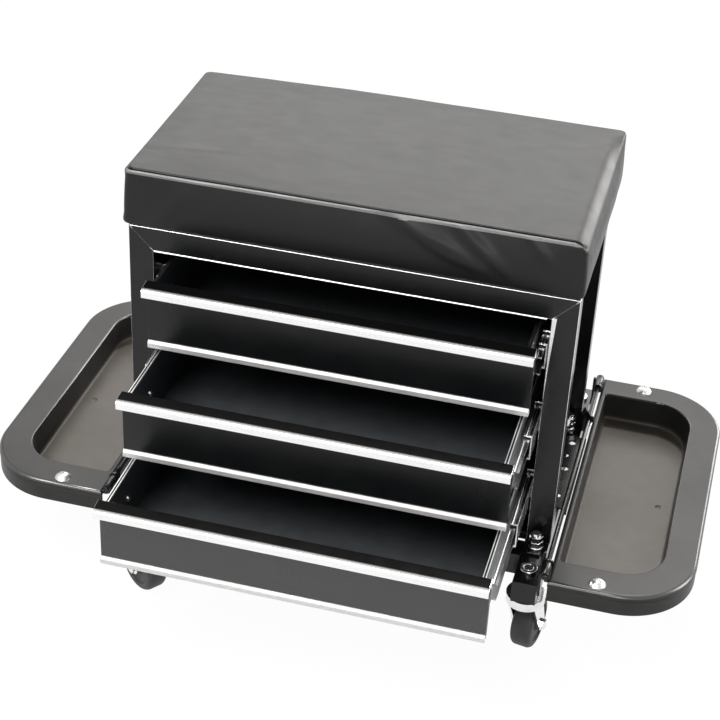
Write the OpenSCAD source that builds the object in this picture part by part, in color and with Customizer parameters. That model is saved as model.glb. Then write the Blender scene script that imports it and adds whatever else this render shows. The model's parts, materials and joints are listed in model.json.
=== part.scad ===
// Rolling creeper seat: a padded seat on a three-drawer cabinet with two folding side trays.
// The drawers stand open in steps and the trays lie level, as the seat is used.

/* [Cabinet] */
// Width over the face frame
frame_w = 450; // [380:5:560]
// Height of the face frame, from the rails to the seat
frame_h = 290; // [280:5:360]
// Width of the frame's head and stiles
member_w = 25; // [18:1:32]
// Depth of the frame's members
member_d = 20; // [14:1:26]
// Depth of the cabinet, front of the frame to the back panel
body_d = 240; // [236:2:280]
// Thickness of the sheet that the cabinet is folded from
sheet_t = 1.2; // [0.8:0.1:2]
// Height of the sill under the lowest drawer
sill_h = 9; // [5:1:10]
// How far the rear posts stand in from the frame's outer edge
post_inset = 4.5; // [1:0.5:8]

/* [Seat] */
// How far the cushion stands out past the frame at each side
seat_side = 3.5; // [1:0.5:9]
// Height of the cushion's side
seat_h = 60; // [40:1:90]
// Rise of the cushion's crown above its welted edge
crown_h = 2.5; // [1:0.5:8]
// How far the cushion stands out in front of the frame
seat_overhang = 3; // [1:1:8]
// How far the cushion stands out behind the back panel
seat_rear = 8; // [1:1:12]
// Thickness of the seat board
board_t = 12; // [8:1:18]

/* [Drawers] */
// Gap between one drawer and the next below it
drawer_gap = 10.5; // [8:0.5:16]
// How far the top drawer stands open
open_1 = 38; // [10:1:160]
// How far the middle drawer stands open
open_2 = 112; // [20:1:170]
// How far the bottom drawer stands open
open_3 = 179; // [150:1:195]
// How far a drawer box reaches in front of and behind its slides, both together
box_over = 10; // [4:1:14]
// Gap between a drawer front and the stile beside it
front_gap = 7.5; // [4:0.5:9]
// How far the pull strip stands out from the drawer front
pull_reach = 15; // [8:1:22]
// Height of the pull strip's bright front band
pull_band_h = 8.5; // [6:0.5:12]
// Height of the trim along the drawer's foot
trim_h = 8; // [5:0.5:10]

/* [Slides] */
// Height of the outer slide member
slide_h = 35; // [33:1:40]
// Width of the whole slide, cabinet wall to drawer wall
slide_w = 12.7; // [12.4:0.1:14]
// Thickness of a slide member's web
slide_web = 1.2; // [1:0.1:1.4]
// Radius of the bearing balls
ball_r = 1.5; // [1.4:0.05:1.6]

/* [Trays] */
// Width of a tray, hinge side to outer edge
tray_w = 140.5; // [122:0.5:170]
// How far a tray reaches in front of the cabinet
tray_front = 75; // [65:1:76]
// How far a tray reaches behind the cabinet
tray_rear = 69; // [62:1:76]
// Radius of a tray's two outer corners
tray_r = 75; // [50:1:90]
// Width of the rim along the front
rim_front = 37; // [36:1:45]
// Width of the rim along the outer edge
rim_outer = 34; // [20:1:45]
// Width of the rim along the rear
rim_rear = 32; // [31:1:40]
// Width of the rim along the hinge side
rim_inner = 6.5; // [6:0.5:10]
// Depth of the tray's pan under the rim
pan_h = 32; // [20:1:36]
// Height of the tray's skirt
skirt_h = 24; // [16:1:30]

/* [Base and casters] */
// Width of a rail
rail_w = 25; // [22:1:30]
// Height of a rail
rail_h = 25; // [20:1:30]
// How far the rails reach in front of the cabinet
rail_front = 70; // [68:1:74]
// How far the rails reach behind the cabinet
rail_rear = 58; // [55:1:64]
// Height of the rails' underside above the floor
ride_h = 85; // [80:1:100]
// Radius of a caster wheel
wheel_r = 28.5; // [22:0.5:32]
// Width of a caster wheel
wheel_w = 23; // [18:1:26]
// Distance from the swivel axis back to the wheel's axle
trail = 22.4; // [16:0.2:26]

/* [Hidden] */

// Colours
vinyl = "#26262a";
black_paint = "#1c1c1e";
tray_paint = "#4a4844";
zinc = "#c9ccd0";
bright_alu = "#dfe2e6";
grey_trim = "#9a9aa0";
chrome = "#e4e6ea";
board_wood = "#b08a5a";
black_rubber = "#1a1a1a";

// Cut overrun, the thickness of a slice that only shapes a hull, and clearances
over = 1;
slice = 0.01;
seat_clear = 0.3;
running_clear = 0.05;
bolt_clear = 0.3;

// Levels above the floor
rail_top = ride_h + rail_h;
frame_top = rail_top + frame_h;
half_w = frame_w / 2;
inner_x = half_w - member_w;
post_x = half_w - post_inset;
post_d = 18;
post_front = body_d - post_d;
back_y = body_d - sheet_t;

// Rails and crossbars
rail_sheet = 1.5;
rail_inset = 1;
rail_x0 = half_w - rail_inset - rail_w;
rail_mid = rail_x0 + rail_w / 2;
rail_x1 = rail_x0 + rail_w;
rail_back = body_d + rail_rear;
bar_w = 25;
bar_front = 27;

// Foot tabs and bolts
tab_t = 3;
tab_l = 24;
tab_w = 13;
bolt_r = 4;
bolt_washer_r = 7.5;
bolt_washer_t = 1.6;
nut_r = 7.2;
nut_h = 6.5;
bolt_head_h = 5;
bolt_end = 3;
bolt_front_y = -tab_l / 2;
bolt_back_y = post_front - tab_l / 2;
bolt_back_x = inner_x + sheet_t + seat_clear + bolt_washer_r;

// Tool strips
strip_w = 23;
strip_lap = 15;
strip_x0 = rail_x1 - strip_lap;
strip_t = 2;
strip_l = 134;
strip_gap = 15;
strip_front = bolt_back_y - strip_gap - strip_l;
strip_lip = 6;
hole_r = 4.25;
hole_pitch = 25;
hole_first = 22;
hole_count = 5;
hole_wall = 0.4;
hole_row = rail_x1 - rail_sheet - hole_wall - hole_r;
hole_stagger = 3.6;
slot_margin = 4;
slot_reach = 36;

// Drawers
front_t = 1.5;
front_return = 8;
top_drop = 39.5;
foot_gap = 3;
front_h = (frame_h - top_drop - sill_h - foot_gap - 2 * drawer_gap) / 3;
drawer_pitch = front_h + drawer_gap;
front_half = inner_x - front_gap;
box_half = inner_x - slide_w;
box_sheet = 1.2;
seam = 0.05;
box_lift = 6;
box_rise = 1;
box_h = front_h + box_rise - box_lift;
hem_w = 3.5;
hem_h = 3;
drawer_1_top = frame_top - top_drop;
pull_t = 1.4;
pull_overlap = 1;
pull_rise = 2.5;
pull_clip = 7;
pull_clip_t = 1;
pull_grip = 4;
trim_reach = 3;
trim_t = 1.2;
slide_drop = 13;
slide_gap = 2;
slide_y = member_d + slide_gap;
slide_l = post_front - slide_y;
box_d = slide_l + box_over;

// Slide section, from the cabinet wall towards the drawer
race_gap = 1.8;
flange_t = 1.6;
middle_flange_t = 2.2;
flange_reach = 9.6;
middle_x = 1.8;
middle_reach = 10;
inner_reach = 4;
outer_race_x = 6.5;
inner_race_x = 7.5;
race_clear = 0.05;
cage_t = 0.6;
cage_half = 2.6;
balls_per_row = 3;
ball_pitch = 26;
slide_screw_r = 2;
slide_screw_head_r = 4;
slide_screw_head_h = 1.8;
slide_screw_margin = 36;
slide_screw_drop = 6;
slide_screw_foot_share = 0.7;

// Trays
tray_gap = 10;
tray_x0 = rail_x1 + tray_gap;
tray_x1 = tray_x0 + tray_w;
tray_back = body_d + tray_rear;
tray_l = tray_front + tray_back;
rim_rise = 12;
rim_z = rail_top + rim_rise;
tray_sheet = 1.5;
edge_r = 4;
pan_draft = 1.5;
pan_r = 42;
pan_inner_r = 5;
notch_w = 6;
notch_clear = 1;
dimple_r = 2.6;
dimple_depth = 0.7;
dimple_x = 89;
dimple_y = 200;

// Tray hinges
rod_r = 2.5;
rod_gap = 6;
rod_x = rail_x1 + rod_gap;
rod_rise = 2;
rod_z = rim_z + rod_rise;
rod_over = 2;
knuckle_r = 4.6;
ear_r = 5.4;
ear_t = 3;
ear_top = 15;
ear_half = 11.5;
ear_leg = 3.2;
ear_foot = 22;
arm_t = 3;
arm_w = 20;
arm_reach = 70;
arm_margin = 5;
arm_front = tray_front - arm_margin;
arm_rear = tray_back - arm_margin;
heel_h = 26;
tray_screw_in = 47.7;
tray_screw_x = tray_x0 + tray_screw_in;
tray_screw_margin_front = 13;
tray_screw_margin_rear = 12;
tray_screw_front = -tray_front + tray_screw_margin_front;
tray_screw_rear = tray_back - tray_screw_margin_rear;
tray_screw_r = 3;
dome_r = 8.6;
dome_h = 4.6;
screw_slot = 1.4;
screw_slot_l = 8;

// Casters
stem_r = 5;
stem_front = -48;
stem_back = rail_back - rail_front - stem_front;
stem_flange_r = 12;
stem_flange_h = 3;
stem_foot_r = 8;
stem_foot_h = 2.2;
ring_r = 8.8;
ring_h = 4;
swivel_gap = 0.4;
cap_r = 20;
cap_h = 9.5;
cap_web = 2.6;
leg_t = 2;
leg_gap = 1.2;
leg_front = 12;
leg_back = 13;
axle_r = 3;
axle_boss_r = 7.5;
axle_head_r = 5.6;
axle_head_h = 3.4;
hub_r = 9;
tyre_round = 6;
groove_d = 2;
groove_r = 20;
// Each caster's turn as a share of a full circle: front left, front right, rear left, rear right
turn_shares = [-0.1011, 0.2222, -0.1667, -0.3611];

// Seat
seat_w = frame_w + 2 * seat_side;
seat_d = body_d + seat_overhang + seat_rear;
seat_corner_r = 7;
side_height_shares = [0, 0.05, 0.16, 0.4, 0.7, 0.9, 0.96, 1];
side_inset_shares = [0.3, 0.05, 0, 0.1, 0.35, 0.8, 0.6, 1];
side_draw = 3.5;
crown_shares = [0.985, 0.93, 0.82, 0.66, 0.46, 0.24];
corner_steps = 7;
board_inset = 9;
seat_screw_r = 2.5;
seat_screw_head_r = 5;
seat_screw_head_h = 2.4;
seat_screw_grip = 9;
seat_screw_share = 0.72;

// The object's own frame stands under the middle of everything, on the floor
front_reach = open_3 + pull_reach;
centre_y = (tray_back - front_reach) / 2;

// Drawer travel in the photographed pose, top to bottom
opens = [open_1, open_2, open_3];
function drawer_top(n) = drawer_1_top - (n - 1) * drawer_pitch;
function slide_mid(n) = drawer_top(n) + box_rise - slide_drop - slide_h / 2;

// Everything is built with y = 0 on the face frame and then set over the origin
module placed() {
    translate([0, -centre_y, 0]) children();
}

// A y-z outline pushed along +x from x0
module along_x(x0, length) {
    translate([x0, 0, 0]) rotate([90, 0, 90]) linear_extrude(length) children();
}

// An x-z outline pushed along +y from y0
module along_y(y0, length) {
    translate([0, y0 + length, 0]) rotate([90, 0, 0]) linear_extrude(length) children();
}

module both_sides() {
    children();
    mirror([1, 0, 0]) children();
}

module block(x0, x1, y0, y1, z0, z1) {
    translate([x0, y0, z0]) cube([x1 - x0, y1 - y0, z1 - z0]);
}

// Seat

function corner_point(i, half_x, half_y, r) =
    let (
        corner = floor(i / corner_steps),
        angle = corner * 90 + (i % corner_steps) * 90 / (corner_steps - 1),
        sx = (corner == 0 || corner == 3) ? 1 : -1,
        sy = corner < 2 ? 1 : -1
    )
    [sx * (half_x - r) + r * cos(angle), sy * (half_y - r) + r * sin(angle)];

function seat_ring(inset, z) = [
    for (i = [0 : 4 * corner_steps - 1])
        let (p = corner_point(i, seat_w / 2 - inset, seat_d / 2 - inset, seat_corner_r - inset))
        [p[0], p[1], z]
];

function crown_ring(share) =
    let (inset = side_inset_shares[len(side_inset_shares) - 1] * side_draw)
    [
        for (p = seat_ring(inset, seat_h))
            [p[0] * share, p[1] * share, seat_h + crown_h * (1 - share * share)]
    ];

module seat_body() {
    sides = [
        for (k = [0 : len(side_height_shares) - 1])
            seat_ring(side_inset_shares[k] * side_draw, side_height_shares[k] * seat_h)
    ];
    tops = [for (share = crown_shares) crown_ring(share)];
    rings = concat(sides, tops);
    n = 4 * corner_steps;
    points = [for (ring = rings) for (p = ring) p];
    walls = [
        for (k = [0 : len(rings) - 2]) for (i = [0 : n - 1])
            let (a = k * n + i, b = k * n + (i + 1) % n)
            each [[a, b + n, b], [a, a + n, b + n]]
    ];
    lid = [for (i = [n - 1 : -1 : 0]) (len(rings) - 1) * n + i];
    base = [for (i = [0 : n - 1]) i];
    polyhedron(points, concat(walls, [lid, base]));
}

seat_mid_y = seat_d / 2 - seat_overhang;

module seat_board_space(clear) {
    half_x = seat_w / 2 - board_inset + clear;
    half_y = seat_d / 2 - board_inset + clear;
    translate([-half_x, seat_mid_y - half_y, frame_top])
        cube([2 * half_x, 2 * half_y, board_t + clear]);
}

module seat_cushion() {
    color(vinyl) placed() difference() {
        translate([0, seat_mid_y, frame_top + seat_clear]) seat_body();
        translate([0, 0, -over]) seat_board_space(seat_clear);
        seat_board_space(seat_clear);
    }
}

module at_seat_screws() {
    for (sx = [-1, 1], sy = [-1, 1])
        translate([
            sx * seat_screw_share * inner_x,
            body_d / 2 + sy * seat_screw_share * body_d / 2,
            frame_top
        ])
            children();
}

module seat_board() {
    color(board_wood) placed() difference() {
        seat_board_space(0);
        at_seat_screws() translate([0, 0, -over])
            cylinder(r = seat_screw_r + running_clear, h = seat_screw_grip + over + seat_clear, $fn = 24);
    }
}

module seat_screws() {
    color(zinc) placed() at_seat_screws() {
        translate([0, 0, -sheet_t]) cylinder(r = seat_screw_r, h = sheet_t + seat_screw_grip, $fn = 24);
        translate([0, 0, -sheet_t - seat_screw_head_h])
            cylinder(r1 = seat_screw_r, r2 = seat_screw_head_r, h = seat_screw_head_h, $fn = 32);
    }
}

// Face frame, folded from sheet with its open side to the rear

module frame_head() {
    low = frame_top - member_w;
    color(black_paint) placed() difference() {
        along_y(0, member_d) polygon([
            [-half_w, frame_top], [half_w, frame_top], [inner_x, low], [-inner_x, low]
        ]);
        along_y(sheet_t, member_d) polygon([
            [-half_w, frame_top - sheet_t], [half_w, frame_top - sheet_t],
            [half_w, low + sheet_t], [-half_w, low + sheet_t]
        ]);
    }
}

module stile_outline() {
    polygon([
        [inner_x, rail_top], [half_w, rail_top],
        [half_w, frame_top], [inner_x, frame_top - member_w]
    ]);
}

module frame_stile() {
    color(black_paint) placed() difference() {
        union() {
            along_y(0, member_d) stile_outline();
            block(rail_mid - tab_w / 2, rail_mid + tab_w / 2, -tab_l, 0, rail_top, rail_top + tab_t);
        }
        block(inner_x + sheet_t, half_w - sheet_t, sheet_t, member_d + over,
            rail_top + tab_t, frame_top + over);
        translate([rail_mid, bolt_front_y, rail_top - over])
            cylinder(r = bolt_r + bolt_clear, h = tab_t + 2 * over, $fn = 32);
    }
}

module frame_stile_right() {
    frame_stile();
}

module frame_stile_left() {
    mirror([1, 0, 0]) frame_stile();
}

module frame_sill() {
    color(black_paint) placed() difference() {
        block(-inner_x, inner_x, 0, member_d, rail_top, rail_top + sill_h);
        block(-inner_x - over, inner_x + over, sheet_t, member_d + over,
            rail_top + sheet_t, rail_top + sill_h - sheet_t);
    }
}

// Cabinet panels and posts

panel_top = frame_top - sheet_t;

module side_panel() {
    color(black_paint) placed() difference() {
        block(inner_x, inner_x + sheet_t, member_d, back_y, rail_top, panel_top);
        for (n = [1 : 3]) at_slide_screws(n, inner_x) rotate([0, 90, 0])
            cylinder(r = slide_screw_r + running_clear, h = 2 * sheet_t + over, center = true, $fn = 24);
    }
}

module side_panel_right() {
    side_panel();
}

module side_panel_left() {
    mirror([1, 0, 0]) side_panel();
}

module rear_post() {
    x0 = inner_x + sheet_t;
    tab_x0 = bolt_back_x - tab_w / 2;
    color(black_paint) placed() difference() {
        union() {
            block(x0, post_x, post_front, back_y, rail_top, panel_top);
            block(tab_x0, tab_x0 + tab_w, post_front - tab_l, post_front,
                rail_top, rail_top + tab_t);
        }
        block(x0 + sheet_t, post_x - sheet_t, post_front + sheet_t, back_y - sheet_t,
            rail_top - over, panel_top + over);
        translate([bolt_back_x, bolt_back_y, rail_top - over])
            cylinder(r = bolt_r + bolt_clear, h = tab_t + 2 * over, $fn = 32);
    }
}

module rear_post_right() {
    rear_post();
}

module rear_post_left() {
    mirror([1, 0, 0]) rear_post();
}

module back_panel() {
    color(black_paint) placed()
        block(-post_x, post_x, back_y, body_d, rail_top, panel_top);
}

module top_panel() {
    color(black_paint) placed() difference() {
        block(-post_x, post_x, member_d, body_d, panel_top, frame_top);
        at_seat_screws() translate([0, 0, -sheet_t - over])
            cylinder(r = seat_screw_r + running_clear, h = sheet_t + 2 * over, $fn = 24);
    }
}

module floor_panel() {
    color(black_paint) placed()
        block(-inner_x, inner_x, member_d, back_y, rail_top, rail_top + sheet_t);
}

// Base

module at_front_bolt() {
    translate([rail_mid, bolt_front_y, 0]) children();
}

// The rear bolts are held by the rail's top web, over its open underside
module at_rear_bolt() {
    translate([bolt_back_x, bolt_back_y, 0]) children();
}

module at_stems() {
    for (y = [stem_front, stem_back]) translate([rail_mid, y, 0]) children();
}

module rail() {
    color(black_paint) placed() difference() {
        block(rail_x0, rail_x1, -rail_front, rail_back, ride_h, rail_top);
        block(rail_x0 + rail_sheet, rail_x1 - rail_sheet, -rail_front + rail_sheet,
            rail_back - rail_sheet, ride_h + rail_sheet, rail_top - rail_sheet);
        block(rail_x0 + rail_sheet, rail_x1 - rail_sheet,
            strip_front, strip_front + strip_l + slot_reach, ride_h - over, ride_h + rail_sheet + over);
        block(hole_row - hole_stagger - hole_r - slot_margin, rail_x1 - rail_sheet,
            strip_front + slot_margin, strip_front + strip_l - slot_margin,
            rail_top - rail_sheet - over, rail_top + over);
        at_front_bolt() translate([0, 0, ride_h - over])
            cylinder(r = bolt_r + bolt_clear, h = rail_h + 2 * over, $fn = 32);
        at_rear_bolt() translate([0, 0, rail_top - rail_sheet - over])
            cylinder(r = bolt_r + bolt_clear, h = rail_sheet + 2 * over, $fn = 32);
        at_stems() translate([0, 0, ride_h - over])
            cylinder(r = stem_r + running_clear, h = rail_h + 2 * over, $fn = 32);
    }
}

module rail_right() {
    rail();
}

module rail_left() {
    mirror([1, 0, 0]) rail();
}

module crossbar(y0) {
    color(black_paint) placed() difference() {
        block(-rail_x0, rail_x0, y0, y0 + bar_w, ride_h, rail_top);
        block(-rail_x0 - over, rail_x0 + over, y0 + rail_sheet, y0 + bar_w - rail_sheet,
            ride_h + rail_sheet, rail_top - rail_sheet);
    }
}

module crossbar_front() {
    crossbar(-bar_front);
}

module crossbar_rear() {
    crossbar(rail_back - rail_front + bar_front - bar_w);
}

// A bolt with its head under the level low and its washer and nuts on the foot tab
module rail_bolt(low) {
    seat_z = rail_top + tab_t;
    nut_z = seat_z + bolt_washer_t;
    bolt_top = nut_z + 2 * nut_h + bolt_end;
    translate([0, 0, low]) cylinder(r = bolt_r, h = bolt_top - low, $fn = 32);
    translate([0, 0, low - bolt_head_h]) cylinder(r1 = bolt_r, r2 = nut_r, h = bolt_head_h, $fn = 32);
    for (k = [0, 1])
        translate([0, 0, nut_z + k * nut_h]) difference() {
            cylinder(r = nut_r - k * bolt_clear, h = nut_h - k * bolt_clear, $fn = 6);
            translate([0, 0, -over]) cylinder(r = bolt_r + running_clear, h = nut_h + 2 * over, $fn = 32);
        }
    translate([0, 0, seat_z]) difference() {
        cylinder(r = bolt_washer_r, h = bolt_washer_t, $fn = 40);
        translate([0, 0, -over])
            cylinder(r = bolt_r + running_clear, h = bolt_washer_t + 2 * over, $fn = 32);
    }
}

module rail_bolts() {
    color(chrome) placed() both_sides() {
        at_front_bolt() rail_bolt(ride_h);
        at_rear_bolt() rail_bolt(rail_top - rail_sheet);
    }
}

module tool_strip() {
    x1 = strip_x0 + strip_w;
    difference() {
        union() {
            block(strip_x0, x1, strip_front, strip_front + strip_l, rail_top, rail_top + strip_t);
            block(x1 - strip_t, x1, strip_front, strip_front + strip_l, rail_top - strip_lip, rail_top);
        }
        for (k = [0 : hole_count - 1])
            translate([
                hole_row - (k % 2) * hole_stagger,
                strip_front + hole_first + k * hole_pitch,
                rail_top - over
            ])
                cylinder(r = hole_r, h = strip_t + 2 * over, $fn = 40);
    }
}

module tool_strips() {
    color(black_paint) placed() both_sides() tool_strip();
}

// Ball-bearing slides: z is measured from the slide's centre line

outer_ball_z = slide_h / 2 - flange_t - race_gap / 2;
middle_half = slide_h / 2 - flange_t - race_gap;
inner_ball_z = middle_half - middle_flange_t - race_gap / 2;
inner_half = middle_half - middle_flange_t - race_gap;

module at_slide_screws(n, x) {
    for (y = [slide_y + slide_screw_margin, slide_y + slide_l - slide_screw_margin])
        translate([x, y, slide_mid(n) - slide_screw_drop]) children();
}

module race(x, z) {
    for (s = [-1, 1]) translate([x, s * z]) circle(r = ball_r + race_clear, $fn = 24);
}

module outer_section() {
    difference() {
        translate([0, -slide_h / 2]) square([flange_reach, slide_h]);
        translate([slide_web, -slide_h / 2 + flange_t])
            square([flange_reach, slide_h - 2 * flange_t]);
        race(outer_race_x, outer_ball_z);
    }
}

module middle_section() {
    difference() {
        translate([middle_x, -middle_half]) square([middle_reach - middle_x, 2 * middle_half]);
        translate([middle_x + slide_web, -middle_half + middle_flange_t])
            square([middle_reach, 2 * (middle_half - middle_flange_t)]);
        race(outer_race_x, outer_ball_z);
        race(inner_race_x, inner_ball_z);
    }
}

module inner_section() {
    difference() {
        translate([inner_reach, -inner_half]) square([slide_w - inner_reach, 2 * inner_half]);
        translate([inner_reach - over, -inner_half + flange_t])
            square([slide_w - inner_reach - slide_web + over, 2 * (inner_half - flange_t)]);
        race(inner_race_x, inner_ball_z);
    }
}

// Sets a slide section on the right wall of drawer bay n, moved forward by travel
module slide_run(n, travel) {
    translate([inner_x, slide_y - travel, slide_mid(n)])
        mirror([1, 0, 0]) along_y(0, slide_l) children();
}

module slide_screw(head_in) {
    rotate([0, 90, 0]) {
        cylinder(r = slide_screw_r, h = head_in, $fn = 24);
        translate([0, 0, -slide_screw_head_h])
            cylinder(r1 = slide_screw_head_r * slide_screw_foot_share, r2 = slide_screw_head_r,
                h = slide_screw_head_h, $fn = 32);
    }
}

module slide_outer_members() {
    color(zinc) placed() both_sides() for (n = [1 : 3]) {
        difference() {
            slide_run(n, 0) outer_section();
            at_slide_screws(n, inner_x) rotate([0, -90, 0]) translate([0, 0, -over])
                cylinder(r = slide_screw_r + running_clear, h = slide_web + 2 * over, $fn = 24);
        }
        at_slide_screws(n, inner_x + sheet_t) mirror([1, 0, 0])
            slide_screw(slide_web + sheet_t - running_clear);
    }
}

module slide_middle(n) {
    color(zinc) placed() both_sides() slide_run(n, opens[n - 1] / 2) middle_section();
}

module slide_1_middle() {
    slide_middle(1);
}

module slide_2_middle() {
    slide_middle(2);
}

module slide_3_middle() {
    slide_middle(3);
}

// One row of balls in its cage strip, along +y from the row's middle
module ball_row() {
    span = (balls_per_row - 1) * ball_pitch / 2;
    difference() {
        translate([-cage_half, -span - 2 * ball_r, -cage_t / 2])
            cube([2 * cage_half, 2 * span + 4 * ball_r, cage_t]);
        for (k = [0 : balls_per_row - 1]) translate([0, k * ball_pitch - span, -over])
            cylinder(r = ball_r + 2 * race_clear, h = 2 * over, $fn = 24);
    }
    for (k = [0 : balls_per_row - 1]) translate([0, k * ball_pitch - span, 0])
        sphere(r = ball_r, $fn = 16);
}

module slide_balls(n) {
    travel = opens[n - 1];
    color(chrome) placed() both_sides()
        translate([inner_x, slide_y + slide_l / 2 - travel / 2, slide_mid(n)])
            for (s = [-1, 1]) {
                translate([-outer_race_x, slide_l / 4, s * outer_ball_z]) ball_row();
                translate([-inner_race_x, -slide_l / 4, s * inner_ball_z]) ball_row();
            }
}

module slide_1_balls() {
    slide_balls(1);
}

module slide_2_balls() {
    slide_balls(2);
}

module slide_3_balls() {
    slide_balls(3);
}

module slide_inner(n) {
    travel = opens[n - 1];
    screw_x = box_half - box_sheet;
    color(zinc) placed() both_sides() {
        difference() {
            slide_run(n, travel) inner_section();
            translate([0, -travel, 0]) at_slide_screws(n, screw_x) rotate([0, 90, 0])
                cylinder(r = slide_screw_r + running_clear, h = box_sheet + slide_web + over, $fn = 24);
        }
        translate([0, -travel, 0]) at_slide_screws(n, screw_x) slide_screw(box_sheet + slide_web);
    }
}

module slide_1_inner() {
    slide_inner(1);
}

module slide_2_inner() {
    slide_inner(2);
}

module slide_3_inner() {
    slide_inner(3);
}

// Drawers: y = 0 is the front panel's face, z = 0 the top of the pull strip

module drawer_place(n) {
    placed() translate([0, -opens[n - 1], drawer_top(n)]) children();
}

// The box is five sheets that meet at welded seams: floor, hemmed sides, front and back
module drawer_box(n) {
    low = box_rise - box_h;
    wall_x = box_half - box_sheet - seam;
    front_y = front_t + box_sheet;
    color(black_paint) drawer_place(n) {
        block(-wall_x, wall_x, front_y + seam, box_d - box_sheet - seam, low, low + box_sheet);
        block(-wall_x, wall_x, front_t, front_y, low, box_rise - hem_h);
        block(-wall_x, wall_x, box_d - box_sheet, box_d, low, box_rise);
        both_sides() difference() {
            union() {
                block(box_half - box_sheet, box_half, front_t, box_d, low, box_rise - hem_h);
                block(box_half - box_sheet, box_half, front_y, box_d, box_rise - hem_h, box_rise);
                block(box_half - hem_w, box_half, front_y, box_d - box_sheet - seam,
                    box_rise - hem_h, box_rise);
            }
            translate([0, 0, -drawer_top(n)]) at_slide_screws(n, box_half) rotate([0, 90, 0])
                cylinder(r = slide_screw_r + running_clear, h = 2 * box_sheet + over,
                    center = true, $fn = 24);
        }
    }
}

module drawer_1_box() {
    drawer_box(1);
}

module drawer_2_box() {
    drawer_box(2);
}

module drawer_3_box() {
    drawer_box(3);
}

module drawer_front(n) {
    low = -front_h + trim_t;
    color(black_paint) drawer_place(n) {
        block(-front_half, front_half, 0, front_t, low, -pull_grip);
        both_sides()
            block(front_half - front_t, front_half, front_t, front_return, low, -pull_grip);
    }
}

module drawer_1_front() {
    drawer_front(1);
}

module drawer_2_front() {
    drawer_front(2);
}

module drawer_3_front() {
    drawer_front(3);
}

// The pull is an extrusion: a bright band in front, a sloped top and a clip over the panel
module pull_section() {
    under = pull_rise - pull_t;
    polygon([
        [-pull_reach, -pull_band_h], [-pull_reach, -pull_t], [-pull_reach + pull_t, 0],
        [front_t, pull_rise], [front_t, -pull_grip], [0, -pull_grip], [0, -pull_clip],
        [-pull_clip_t, -pull_clip], [-pull_clip_t, under - pull_t],
        [-pull_reach + pull_t, -pull_t], [-pull_reach + pull_t, -pull_band_h]
    ]);
}

module drawer_pull(n) {
    half = front_half + pull_overlap;
    color(bright_alu) drawer_place(n) along_x(-half, 2 * half) pull_section();
}

module drawer_1_pull() {
    drawer_pull(1);
}

module drawer_2_pull() {
    drawer_pull(2);
}

module drawer_3_pull() {
    drawer_pull(3);
}

// The trim wraps the panel's foot with a bevelled front
module trim_section() {
    low = -front_h;
    polygon([
        [-trim_reach, low], [front_return, low], [front_return, low + trim_t], [0, low + trim_t],
        [0, low + trim_h], [-trim_t, low + trim_h], [-trim_reach, low + trim_h - trim_reach]
    ]);
}

module drawer_trim(n) {
    color(grey_trim) drawer_place(n) along_x(-front_half, 2 * front_half) trim_section();
}

module drawer_1_trim() {
    drawer_trim(1);
}

module drawer_2_trim() {
    drawer_trim(2);
}

module drawer_3_trim() {
    drawer_trim(3);
}

// Trays

// D outline, drawn in on all sides by inset
module tray_outline(inset) {
    x0 = tray_x0 + inset;
    x1 = tray_x1 - inset;
    y0 = -tray_front + inset;
    y1 = tray_back - inset;
    intersection() {
        translate([x0, y0]) square([x1 - x0, y1 - y0]);
        union() {
            translate([x0, y0]) square([tray_x1 - tray_r - x0, y1 - y0]);
            translate([x0, -tray_front + tray_r]) square([x1 - x0, tray_l - 2 * tray_r]);
            for (y = [-tray_front + tray_r, tray_back - tray_r])
                translate([tray_x1 - tray_r, y]) circle(r = tray_r - inset, $fn = 72);
        }
    }
}

// Pan outline, drawn in on all sides by inset
module pan_outline(inset) {
    x0 = tray_x0 + rim_inner;
    x1 = tray_x1 - rim_outer;
    y0 = -tray_front + rim_front;
    y1 = tray_back - rim_rear;
    mid_x0 = x0 + pan_inner_r;
    mid_x1 = x1 - pan_r;
    translate([mid_x0, y0 + inset]) square([mid_x1 - mid_x0, y1 - y0 - 2 * inset]);
    translate([x0 + inset, y0 + pan_inner_r])
        square([mid_x0 - x0 - inset, y1 - y0 - 2 * pan_inner_r]);
    translate([mid_x1, y0 + pan_r]) square([x1 - inset - mid_x1, y1 - y0 - 2 * pan_r]);
    for (y = [y0 + pan_r, y1 - pan_r])
        translate([mid_x1, y]) circle(r = pan_r - inset, $fn = 48);
    for (y = [y0 + pan_inner_r, y1 - pan_inner_r])
        translate([mid_x0, y]) circle(r = pan_inner_r - inset, $fn = 24);
}

module tray_skin(inset, low) {
    translate([0, 0, low]) linear_extrude(rim_z - edge_r - low) tray_outline(inset);
    hull() for (a = [0 : 30 : 90])
        translate([0, 0, rim_z - slice - inset - (edge_r - inset) * (1 - sin(a))]) linear_extrude(slice)
            tray_outline(inset + (edge_r - inset) * (1 - cos(a)));
}

module pan_block(grow, low, high) {
    hull() {
        translate([0, 0, high]) linear_extrude(slice) pan_outline(-grow);
        translate([0, 0, low]) linear_extrude(slice) pan_outline(pan_draft - grow);
    }
}

module at_tray_screws() {
    for (y = [tray_screw_front, tray_screw_rear]) translate([tray_screw_x, y, rim_z]) children();
}

// Clears an arm where it passes under the rim
module notch(y0, y1) {
    block(tray_x0 - over, tray_x0 + notch_w, y0, y1, rim_z - skirt_h - over, rim_z + over);
}

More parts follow.
